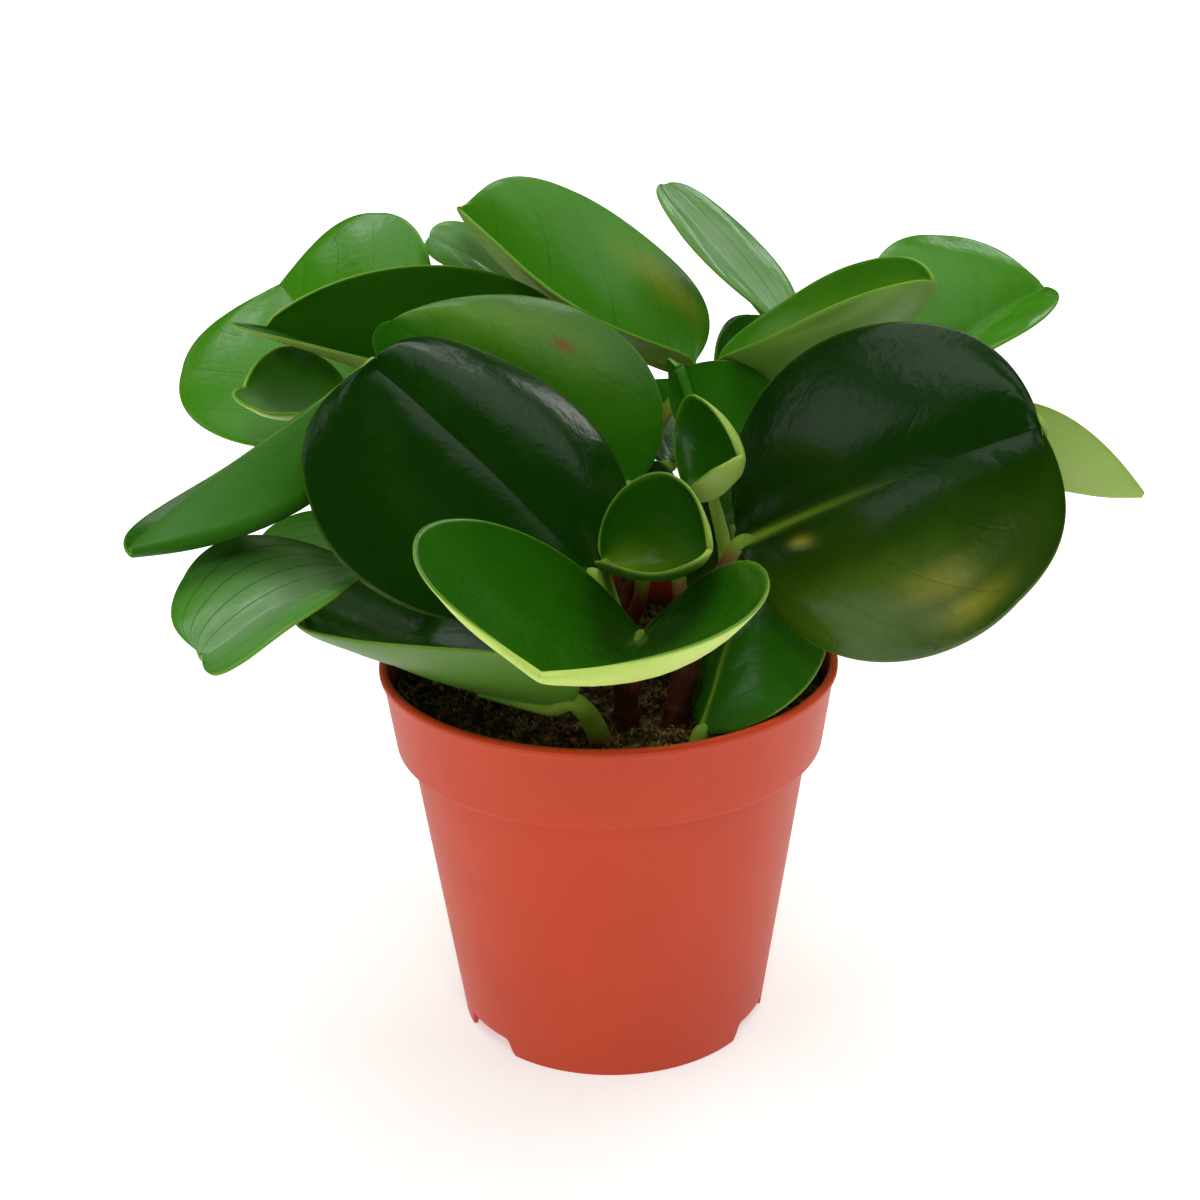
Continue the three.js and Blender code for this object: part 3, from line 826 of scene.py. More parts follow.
    def blade(self, rng: np.random.Generator) -> Shell:
        """The blade as a closed shell: upper face, rounded rim and lower face.

        Both faces sink towards the midrib by a parabola, so that it is a crease. The upper face sinks in
        bell-shaped grooves along the veins, with shallow dents from a few seeded waves and a wavy rim. The
        lower face follows at half that depth and has a raised midrib.

        Args:
            rng: The leaf's own random draws.

        Returns:
            The shell with its colour masks.
        """
        rows, half = self.grid if np.linalg.norm(self.chord) > self.small else self.small_grid
        to_rim = 0.5 - 0.5 * np.cos(np.linspace(0.0, np.pi, half + 1))
        v = np.concatenate([-to_rim[::-1], to_rim[1:]])[None]
        t = np.linspace(0.0, 1.0, rows + 1)[:, None]
        face = self.surface(*np.broadcast_arrays(t, v))
        q = np.abs(v)
        reach = np.where(v > 0, *(np.linalg.norm(span) for span in self.spans[0])) * self.width(t)
        inset = (1 - q) * reach
        ends = smoothstep(0.0, self.base_opens, t) * smoothstep(1.0, self.tip_closes, t)
        narrow = min(np.linalg.norm(span) for span in self.spans[0]) * self.width(t)
        valley = self.valley * (1 - np.minimum(1.0, q * reach / self.valley_reach)) ** 2
        valley = valley * smoothstep(0.0, self.valley_full, narrow) * (1 - q)
        face = face - valley[..., None] * self.normals(face)
        normal = self.normals(face)
        depth = (self.thickness + (self.rim_thickness - self.thickness) * q) * ends
        past = np.clip(1 - inset / self.rounding, 0.0, 1.0)
        round_off = 0.5 * depth * (1 - np.sqrt(1 - past**2))
        crease = self.crease(t, v)
        beside_midrib, before_rim, past_base = self.vein_fade
        shows = smoothstep(0.0, beside_midrib, q) * smoothstep(1.0, before_rim, q)
        shows = shows * smoothstep(0.0, past_base, t)
        grooves = np.exp(-(((crease - np.round(crease)) / self.groove) ** 2)) * shows
        inner = smoothstep(0.0, self.dent_margin, inset) * ends
        waves = sum(
            np.sin(2 * np.pi * (a * t + b * v + c))
            for a, b, c in rng.uniform((1, 0.5, 0), (4, 2, 1), (self.dent_count, 3))
        )
        rim_phase = rng.uniform(*self.rim_waves) * t + rng.uniform()
        rim_wave = self.rim_wave * q**2 * ends * np.sin(2 * np.pi * rim_phase)
        dents = (self.dent * waves - self.ribs * grooves) * inner + rim_wave
        keel = self.keel * np.exp(-((q * reach / self.keel_width) ** 2)) * (1 - t) * inner
        upper = face + (dents - round_off)[..., None] * normal
        lower = face + (0.5 * (dents + rim_wave) - depth - keel + round_off)[..., None] * normal
        strength, end = self.midrib_shows
        middle = np.exp(-((q * reach / self.midrib_width) ** 2))
        masks = {
            "crease": crease,
            "ribs": min(1.0, self.ribs / self.drawn_ribs) * shows,
            "midrib": strength * middle * (1 - smoothstep(0.2 * end, end, t)),
            "rim": np.exp(-((inset / self.rim_width) ** 2)),
            "age": self.age.value + 0 * t * v,
            "paleness": self.paleness + 0 * t * v,
        }
        for stain in Stain:
            spots = [patch.mask(t, v) for patch in self.patches if patch.stain is stain]
            masks[stain.value] = sum(spots) + 0 * t * v
        rings = np.concatenate([upper, lower[:, -2:0:-1]], axis=1)
        around = {k: np.concatenate([m, m[:, -2:0:-1]], axis=1)[1:-1] for k, m in masks.items()}
        across = v.shape[1]
        under = np.concatenate([np.zeros(across), np.ones(across - 2)])[None]
        return Shell.loft(rings[1:-1], face[0, half], face[-1, half], under=under, **around)

    def petiole(self, stems: dict[str, Stem]) -> Shell:
        """The petiole: a tube from its root to the blade's base and on under the midrib, where it thins.

        Args:
            stems: The stems by name.

        Returns:
            The closed tube.
        """
        spans, _, up = self.spans
        root = stems[self.start[0]].at(self.start[1]) if len(self.start) == 2 else np.array(self.start)
        join = np.array(self.base) - 0.5 * self.thickness * up
        drop = self.thickness + self.petiole_drop + self.valley
        under = self.midrib(np.array(self.petiole_places)) - drop * up
        path = smooth_path(np.vstack([root, *map(np.array, self.via), join, under]), self.petiole_rows)
        share = np.linspace(0.0, 1.0, self.petiole_rows)
        radius = self.stalk + (self.petiole_end - self.stalk) * share**2
        constant = {"age": self.age.value, "paleness": self.paleness, "under": 1.0}
        values = {name: np.full(self.petiole_rows, value, dtype=float) for name, value in constant.items()}
        values["stalk"] = smoothstep(0.0, 1.0, np.linspace(*self.stalk_fade, self.petiole_rows))
        return tube(path, radius, unit(spans[0] - spans[1]), self.petiole_sides, **values)

    def build(self, stems: dict[str, Stem], skin: bpy.types.Material) -> None:
        """Builds the leaf, on one of the stems, in place of its node."""
        rng = np.random.default_rng(int(self.name[5:7]))
        shell = Shell.joined([self.blade(rng), self.petiole(stems)])
        piece = shell.to_object(self.name + "_skin", skin)
        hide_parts(self.name)


@dataclass
class Pot:
    """The pot: one moulding turned about Z, with a lip, a band, a tapering wall and a notched foot ring.

    Lengths are in mm, and front_foot_turn is in degrees.
    """

    lip_radius: float = 60.0
    lip_inner_radius: float = 57.9
    height: float = 103.0
    lip_height: float = 2.0
    band_top_radius: float = 59.2
    band_bottom_radius: float = 56.3
    band_bottom: float = 80.0
    body_top_radius: float = 52.7
    foot_radius: float = 41.0
    wall: float = 1.2
    floor_height: float = 5.0
    floor_thickness: float = 1.0
    pad_radius: float = 14.0
    pad_draft: float = 0.4
    pad_margin: float = 2.0
    edge: float = 0.7
    foot_count: int = 3
    front_foot_turn: float = 5.5
    notch_half_width: float = 8.0
    notch_slope: float = 2.2
    notch_height: float = 4.8
    notch_fade: float = 14.0
    notch_clearance: float = 0.15
    drain_count: int = 6
    drain_radius: float = 3.5
    drain_circle: float = 30.0
    drain_sides: int = 24
    rod_span: tuple[float, float] = (2.0, 9.0)
    angles: int = 288
    corner: float = 0.45
    corner_share: float = 0.35
    corner_points: int = 5
    stretch: float = 2.5
    dust_and_shade: float = 0.85
    dust_and_shade_depth: tuple[float, float] = (0.5, 6.0)

    @property
    def profile(self) -> np.ndarray:
        """The moulding's outline as radius and height, from the middle of its underside to its floor."""
        top = self.floor_height + self.floor_thickness
        slope = (self.body_top_radius - self.foot_radius) / self.band_bottom
        inner_foot = self.foot_radius - self.wall
        return np.array([
            (0.0, 0.0),
            (self.pad_radius, 0.0),
            (self.pad_radius + self.pad_draft, self.floor_height),
            (inner_foot, self.floor_height),
            (inner_foot, 0.0),
            (self.foot_radius, 0.0),
            (self.foot_radius + slope * self.notch_fade, self.notch_fade),
            (self.body_top_radius, self.band_bottom),
            (self.band_bottom_radius - self.edge, self.band_bottom),
            (self.band_bottom_radius, self.band_bottom + self.edge),
            (self.band_top_radius, self.height - self.lip_height),
            (self.lip_radius, self.height - self.lip_height),
            (self.lip_radius, self.height - self.edge),
            (self.lip_radius - self.edge, self.height),
            (self.lip_inner_radius + self.edge / 2, self.height),
            (self.lip_inner_radius, self.height - self.edge / 2),
            (self.band_bottom_radius - self.wall, self.band_bottom + self.wall),
            (self.body_top_radius - self.wall, self.band_bottom),
            (self.foot_radius + slope * top - self.wall, top),
            (self.pad_radius + self.pad_draft - self.wall, top),
            (self.pad_radius - self.wall, self.wall),
            (0.0, self.wall),
        ])

    def rounded(self) -> np.ndarray:
        """The profile with its corners rounded by parabolas that start the corner size away, and with its
        long stretches divided."""
        corners = self.profile
        before, after = corners[:-2] - corners[1:-1], corners[2:] - corners[1:-1]
        shorter = np.minimum(np.linalg.norm(before, axis=1), np.linalg.norm(after, axis=1))
        cut = np.minimum(self.corner, self.corner_share * shorter)
        start = corners[1:-1] + cut[:, None] * unit(before)
        end = corners[1:-1] + cut[:, None] * unit(after)
        s = np.linspace(0.0, 1.0, self.corner_points)[None, :, None]
        arcs = (1 - s) ** 2 * start[:, None] + 2 * s * (1 - s) * corners[1:-1, None] + s * s * end[:, None]
        pieces = [corners[:1]]
        for arc in [*arcs, corners[-1:]]:
            gap = np.linalg.norm(arc[0] - pieces[-1][-1])
            steps = np.linspace(0.0, 1.0, max(2, int(gap / self.stretch) + 1))[1:-1, None]
            pieces += [pieces[-1][-1] + steps * (arc[0] - pieces[-1][-1]), arc]
        return np.vstack(pieces)

    def drains(self) -> Shell:
        """Upright rods through the floor, where its drain holes are."""
        low, high = (height * UP for height in self.rod_span)
        circle = self.drain_radius * flat_circle(self.drain_sides)
        rods = []
        for turn in ring_angles(self.drain_count):
            middle = self.drain_circle * np.array([np.sin(turn), -np.cos(turn), 0.0])
            rings = np.stack([middle + circle + low, middle + circle + high])
            rods.append(Shell.loft(rings, middle + low, middle + high))
        return Shell.joined(rods)

    def build(self, plastic: bpy.types.Material) -> None:
        """Builds the pot in place of its node.

        Each profile point is turned to a ring. Under the fade height the foot's points are pressed up by
        the notches: a step of the distance along the foot from the middle of the nearest notch.

        Args:
            plastic: The pot's finish.
        """
        outline = self.rounded()[1:-1]
        turn = ring_angles(self.angles)[None]
        r, z = outline[:, :1] + 0 * turn, outline[:, 1:] + 0 * turn
        sector = 2 * np.pi / self.foot_count
        off = (turn + 0.5 * np.pi - np.radians(self.front_foot_turn)) % sector - 0.5 * sector
        along = self.foot_radius * np.abs(off)
        press = self.notch_height * (
            1 - smoothstep(self.notch_half_width, self.notch_half_width + self.notch_slope, along)
        )
        slope = (self.body_top_radius - self.foot_radius) / self.band_bottom
        on_wall = (r > self.foot_radius - 0.5 * self.wall) & (z < self.notch_fade)
        on_ring = (r > self.pad_radius + self.pad_margin) & (z < self.floor_height) & ~on_wall
        raised = press + z * (self.notch_fade - press) / self.notch_fade
        low = np.minimum(press, self.floor_height - self.notch_clearance)
        lifted = low + z * (self.floor_height - low) / self.floor_height
        r = np.where(on_wall, r + slope * (raised - z), r)
        z = np.where(on_wall, raised, np.where(on_ring, lifted, z))
        rings = np.stack([r * np.cos(turn), r * np.sin(turn), z], axis=-1)
        first, last = (np.array([0.0, 0.0, end[1]]) for end in self.profile[[0, -1]])
        # Peat dust and painted shade darken the inner wall, from just under the lip downwards.
        past_lip = np.arange(len(outline)) > outline[:, 1].argmax()
        inside = self.dust_and_shade * past_lip * smoothstep(*self.dust_and_shade_depth, self.height - outline[:, 1])
        shell = Shell.loft(rings, first, last, inside=inside[:, None])
        piece = shell.to_object("pot_moulding", plastic)
        rods = add_object("drain_rods", self.drains().to_mesh("drain_rods"))
        drilled = piece.modifiers.new("drains", "BOOLEAN")
        drilled.object, drilled.operation, drilled.solver = rods, "DIFFERENCE", "EXACT"
        shape = piece.evaluated_get(bpy.context.evaluated_depsgraph_get())
        piece.data = bpy.data.meshes.new_from_object(shape)
        piece.modifiers.clear()
        bpy.data.objects.remove(rods)
        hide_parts("pot")


@dataclass
class Soil:
    """Peat that fills the pot to 8 mm under the lip, with crumbs, fibres and tufts of dried moss on it.

    Lengths are in mm, and waves are given by how many radians they turn in 1 mm.
    """

    level: float = 94.5
    radius: float = 55.9
    band: tuple[float, float] = (54.3, 81.5)
    step: tuple[float, float] = (51.0, 80.3)
    bottom: tuple[float, float] = (39.3, 6.3)
    lump: float = 1.1
    lump_wave: float = 0.29
    fine_wave: float = 0.46
    fine_share: float = 0.6
    fade: float = 8.0
    grain: float = 0.075
    grain_waves: tuple[float, float] = (0.8, 3.2)
    grain_count: int = 26
    shading: float = 0.12
    shading_waves: tuple[float, float] = (0.9, 0.8)
    crumb_corners: tuple[float, float] = (0.55, 1.25)
    margin: float = 1.5
    curl: float = 3.0
    thinning: float = 0.6
    seat: float = 0.2
    humps: tuple[float, float] = (0.2, 1.0)
    strand_shades: tuple[float, float] = (0.1, 0.7)
    strand_gap: float = 1.0
    strand_points: int = 8
    strand_sides: int = 3
    tufts: int = 170
    tuft_strands: int = 12
    tuft_spread: float = 0.8
    first_ring: float = 0.5
    rings: int = 110
    angles: int = 300
    seed: int = 7

    def height(self, x: np.ndarray, y: np.ndarray, fine: bool = True) -> np.ndarray:
        """The soil's surface: two crossing waves and a slanted finer one, which fade out in the middle,
        plus many short seeded waves for its crumbly grain.

        Args:
            x: Places across.
            y: Places in depth.
            fine: Whether the short waves are in it.

        Returns:
            Heights above the pot's underside.
        """
        broad = np.sin(self.lump_wave * x + 1) * np.cos(self.lump_wave * y)
        slanted = self.fine_share * np.sin(self.fine_wave * (y - x))
        level = self.level + self.lump * (broad + slanted) * np.minimum(1.0, np.hypot(x, y) / self.fade)
        if fine:
            rng = np.random.default_rng(self.seed)
            slow, fast = self.grain_waves
            for a, size, c in rng.uniform((0, slow, 0), (2 * np.pi, fast, 2 * np.pi), (self.grain_count, 3)):
                level = level + self.grain * np.sin(size * (x * np.cos(a) + y * np.sin(a)) + c)
        return level

    def scatter(self, rng: np.random.Generator, count: int) -> np.ndarray:
        """Seeded points on the soil, evenly spread over its disc."""
        r = (self.radius - self.margin) * np.sqrt(rng.uniform(0, 1, count))
        a = rng.uniform(0, 2 * np.pi, count)
        x, y = r * np.cos(a), r * np.sin(a)
        return np.stack([x, y, self.height(x, y)], axis=1)

    def bed(self) -> Shell:
        """The peat as one closed body: its lumpy top on a polar grid, and sides that follow the pot."""
        turn = ring_angles(self.angles)[None]
        r = np.linspace(self.first_ring, self.radius, self.rings)[:, None]
        x, y = r * np.cos(turn), r * np.sin(turn)
        top = np.stack([x, y, self.height(x, y)], axis=-1)
        sides = [[r * np.cos(turn[0]), r * np.sin(turn[0]), z + 0 * turn[0]]
                 for r, z in (self.band, self.step, self.bottom)]
        rings = np.concatenate([top, np.array(sides).transpose(0, 2, 1)])
        across, ahead = self.shading_waves
        shade = self.shading * np.sin(across * rings[..., 0]) * np.cos(ahead * rings[..., 1])
        ends = (np.array([0.0, 0.0, height]) for height in (self.level, self.bottom[1]))
        return Shell.loft(rings, *ends, shade=shade)

    def crumbs(self, rng: np.random.Generator, count: int, size: tuple[float, float],
               shade: tuple[float, float]) -> Shell:
        """Crumbs: octahedra with their corners pushed in or out by seeded shares.

        Args:
            rng: Random draws.
            count: How many.
            size: The smallest and largest radius.
            shade: The darkest and lightest shade.

        Returns:
            All of them as one shell.
        """
        corners = np.array([(1, 0, 0), (-1, 0, 0), (0, 1, 0), (0, -1, 0), (0, 0, 1), (0, 0, -1)], dtype=float)
        sides = np.array([
            (0, 2, 4), (2, 1, 4), (1, 3, 4), (3, 0, 4), (2, 0, 5), (1, 2, 5), (3, 1, 5), (0, 3, 5),
        ])
        places = self.scatter(rng, count)
        radius = rng.uniform(*size, (count, 1, 1)) * rng.uniform(*self.crumb_corners, (count, 6, 1))
        turns = np.linalg.qr(rng.normal(size=(count, 3, 3)))[0]
        turns *= np.sign(np.linalg.det(turns))[:, None, None]
        points = places[:, None] + radius * (corners @ turns)
        faces = (6 * np.arange(count)[:, None, None] + sides).reshape(-1, 3).tolist()
        shades = np.repeat(rng.uniform(*shade, count), 6)
        return Shell(points.reshape(-1, 3), faces, {"shade": shades})

    def strands(self, rng: np.random.Generator, places: np.ndarray, length: tuple[float, float],
                radius: tuple[float, float], lift: float) -> Shell:
        """Curled strands: thin tubes that turn steadily about the vertical and rise and fall.

        Args:
            rng: Random draws.
            places: Where each starts.
            length: The shortest and longest.
            radius: The thinnest and thickest.
            lift: How high their middles rise, as a share of their length.

        Returns:
            All of them as one shell.
        """
        count, steps, sides = len(places), self.strand_points, self.strand_sides
        share = np.linspace(0.0, 1.0, steps)[None]
        size = rng.uniform(*length, (count, 1))
        heading = rng.uniform(0, 2 * np.pi, (count, 1))
        heading = heading + rng.uniform(-self.curl, self.curl, (count, 1)) * share
        step = size / (steps - 1)
        x = places[:, :1] + np.cumsum(step * np.cos(heading), axis=1)
        y = places[:, 1:2] + np.cumsum(step * np.sin(heading), axis=1)
        inside = np.minimum(1.0, (self.radius - self.strand_gap) / np.hypot(x, y))
        x, y = x * inside, y * inside
        hump = rng.uniform(*self.humps, (count, 1)) * lift * size * np.sin(np.pi * share)
        z = self.height(x, y, fine=False) + self.seat + hump
        path = np.stack([x, y, z], axis=-1)
        across = unit(np.stack([-np.sin(heading), np.cos(heading), 0 * heading], axis=-1))
        thick = rng.uniform(*radius, (count, 1)) * (1 - self.thinning * share)
        angle = ring_angles(sides)[:, None]
        ring = np.cos(angle) * across[:, :, None] + np.sin(angle) * UP
        points = path[:, :, None] + thick[..., None, None] * ring
        number = np.arange(steps * sides).reshape(steps, sides)
        start = steps * sides * np.arange(count)[:, None, None]
        faces = (start + ring_quads(number)).reshape(-1, 4).tolist()
        faces += (start[:, 0] + number[0, ::-1]).tolist() + (start[:, 0] + number[-1]).tolist()
        shades = np.repeat(rng.uniform(*self.strand_shades, count), steps * sides)
        return Shell(points.reshape(-1, 3), faces, {"shade": shades})

    def build(self) -> None:
        """Builds the soil in place of its node, with what lies on it."""
        rng = np.random.default_rng(self.seed)
        peat = Speckled("sphagnum_peat", "24180C", "665026", 1.6, 0.5)
        crumb = Speckled("peat_crumbs", "2A1C0E", "8C6C36", 0.8, 0.2)
        bark = Speckled("bark_bits", "4A3016", "B08C50", 0.9, 0.15)
        moss = Speckled("dried_moss", "5C4A18", "C4AC54", 0.7, 0.05)
        fibre = Speckled("root_fibres", "4A2A14", "8E6636", 0.9, 0.03)
        tufts = np.repeat(self.scatter(rng, self.tufts), self.tuft_strands, axis=0)
        tufts = tufts + rng.normal(0.0, self.tuft_spread, tufts.shape) * (1.0, 1.0, 0.0)
        shells = [
            ("soil_bed", self.bed(), peat),
            ("soil_crumbs", self.crumbs(rng, 7500, (0.3, 1.5), (-0.3, 0.35)), crumb),
            ("soil_bark_bits", self.crumbs(rng, 420, (0.4, 1.3), (-0.1, 0.6)), bark),
            ("soil_moss", self.strands(rng, tufts, (0.8, 2.6), (0.1, 0.22), 0.7), moss),
            ("soil_fibres",
             self.strands(rng, self.scatter(rng, 130), (4.0, 13.0), (0.08, 0.16), 0.14), fibre),
        ]
        for name, shell, finish in shells:
            piece = shell.to_object(name, finish.make())
        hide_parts("soil")


@dataclass(frozen=True)
class Lamp:
    """A soft light that faces the plant.

    Attributes:
        name: Its name.
        azimuth: Its direction in degrees, from straight behind the plant, 0, to its right, 90.
        height: Its height over the horizon in degrees.
        width: Its width in metres.
        power: Its power in watts.
        tall: Its height in metres. Where it isn't given, the light is square.
        mirrored: Whether glossy surfaces show it.
    """

    name: str
    azimuth: float
    height: float
    width: float
    power: float
    tall: float | None = None
    mirrored: bool = True

    def build(self, target: np.ndarray, distance: float) -> None:
        """Hangs the light at the distance from the target."""
        turn, rise = np.radians(self.azimuth), np.radians(self.height)
        away = np.array([np.sin(turn) * np.cos(rise), np.cos(turn) * np.cos(rise), np.sin(rise)])
        data = bpy.data.lights.new(self.name, "AREA")
        data.shape = "RECTANGLE"
        data.energy, data.size, data.size_y = self.power, self.width, self.tall or self.width
        light = add_object(self.name, data)
        light.location = target + distance * away
        light.rotation_euler = Vector(-away).to_track_quat("-Z", "Y").to_euler()
        light.visible_glossy = self.mirrored


@dataclass
class Studio:
    """The pale floor, the soft lights and the camera, in metres.

    Softboxes behind the plant and on its left show in the waxed leaves as soft grey highlights. Lamps that
    no glossy surface shows bring out the green from overhead, from the right and from the front. The front
    is the dimmest, so that the pot is darkest in its middle.
    """

    distance: float = 0.6
    elevation: float = 27.7
    roll: float = -1.0
    focal_pixels: float = 2200.0
    picture_pixels: float = 1200.0
    sensor: float = 36.0
    raised: float = 0.05
    target: tuple[float, float, float] = (-0.0019, 0.0, 0.118)
    near_floor: float = 0.3
    floor_radius: float = 5.0
    floor_angles: int = 96
    bright_side: tuple[float, float, float] = (0.2, 0.75, 0.63)
    dark: float = 0.06
    bright: float = 0.9
    lamp_distance: float = 1.5
    lamps: tuple[Lamp, ...] = (
        Lamp("back_right_softbox", 52, 61, 0.9, 1.7),
        Lamp("back_softbox", 4, 47, 0.6, 1.5),
        Lamp("back_left_softbox", -32, 52, 0.8, 1.9),
        Lamp("left_high_softbox", -95, 66, 0.7, 1.6),
        Lamp("left_softbox", -94, 30, 0.7, 1.1),
        Lamp("back_key_light", 32, 27, 0.4, 0.8, tall=0.25),
        Lamp("back_left_lamp", -36, 43, 0.2, 0.3),
        Lamp("back_right_lamp", 22, 51, 0.2, 0.3),
        Lamp("front_left_card", -128, -10, 1.6, 2.6, tall=0.45),
        Lamp("overhead_lamp", 45, 76, 1.0, 10.0, mirrored=False),
        Lamp("right_lamp", 105, 20, 0.6, 2.5, mirrored=False),
        Lamp("front_fill", 176, 46, 0.4, 6.2, mirrored=False),
        Lamp("front_left_fill", -125, 12, 0.8, 5.0, mirrored=False),
    )

    def camera(self) -> None:
        """Places the camera: it looks at the target from the distance and elevation, then rolls."""
        angle = np.radians(self.elevation)
        place = np.array([0.0, -self.distance * np.cos(angle), self.distance * np.sin(angle) + self.raised])
        ahead = unit(np.array(self.target) - place)
        right = unit(np.cross(ahead, UP))
        over = np.cross(right, ahead)
        roll = np.radians(self.roll)
        right, over = right * np.cos(roll) + over * np.sin(roll), over * np.cos(roll) - right * np.sin(roll)
        data = bpy.data.cameras.new("camera")
        data.sensor_width = self.sensor
        data.lens = self.sensor * self.focal_pixels / self.picture_pixels
        camera = add_object("camera", data)
        turned = Matrix(np.stack([right, over, -ahead], axis=1).tolist()).to_4x4()
        camera.matrix_world = Matrix.Translation(Vector(place)) @ turned
        bpy.context.scene.camera = camera

    def floor(self) -> None:
        """Lays the pale floor that the pot stands on, in two parts: a disc round the pot, which its glossy
        wall mirrors, and the ring beyond it, which no glossy surface shows."""
        paper = SeamlessPaper().make()
        circle = flat_circle(self.floor_angles)
        near, far = self.near_floor * circle, self.floor_radius * circle
        edges = np.arange(self.floor_angles)
        beside = np.roll(edges, -1)
        ring = np.stack([edges, edges + len(edges), beside + len(edges), beside], axis=1)
        parts = {"floor_near": (near, [edges.tolist()]), "floor_far": (np.vstack([near, far]), ring.tolist())}
        for name, (points, faces) in parts.items():
            mesh = bpy.data.meshes.new(name)
            mesh.from_pydata(points, [], faces)
            mesh.materials.append(paper)
            part = add_object(name, mesh)
            part.visible_glossy = name == "floor_near"

    def surroundings(self) -> None:
        """Lights the scene evenly from behind and above and leaves the camera's side dark. Glossy surfaces
        don't show it, so that they keep their deep colour between the softboxes' reflections."""
        world = bpy.data.worlds.new("studio")
        world.use_nodes = True
        tree = world.node_tree
        tree.nodes.clear()
        place = add_node(tree, "TexCoord").node.outputs["Generated"]
        facing = add_node(tree, "VectorMath", [place, self.bright_side], operation="DOT_PRODUCT")
        facing = facing.node.outputs["Value"]
        strength = add_node(tree, "MapRange", [facing, 0.0, 1.0, self.dark, self.bright],
                            interpolation_type="SMOOTHSTEP")
        back = add_node(tree, "Background", {"Color": linear("FFFFFF"), "Strength": strength})
        add_node(tree, "OutputWorld", {"Surface": back})
        world.cycles_visibility.glossy = False
        bpy.context.scene.world = world

    def build(self) -> None:
        """Builds the studio."""
        self.camera()
        self.floor()
        self.surroundings()
        for lamp in self.lamps:
            lamp.build(np.array(self.target), self.lamp_distance)
        bpy.context.scene.view_settings.view_transform = "Standard"


STEMS = [
    Stem("front", [(4, -27, 60), (4.5, -28, 92), (4, -30, 119)]),
    Stem("front_right", [(16, -26, 60), (16, -28, 92), (25, -20, 129)]),
    Stem("right", [(34, 12, 60), (34, 14, 92), (38, 26, 128), (41, 33, 145)]),
    Stem("middle", [(4, 14, 60), (4, 18, 92), (6, 28, 124), (5, 36, 142)]),
    Stem("left", [(-28, 8, 60), (-30, 10, 92), (-38, 18, 122), (-42, 24, 140)]),
]
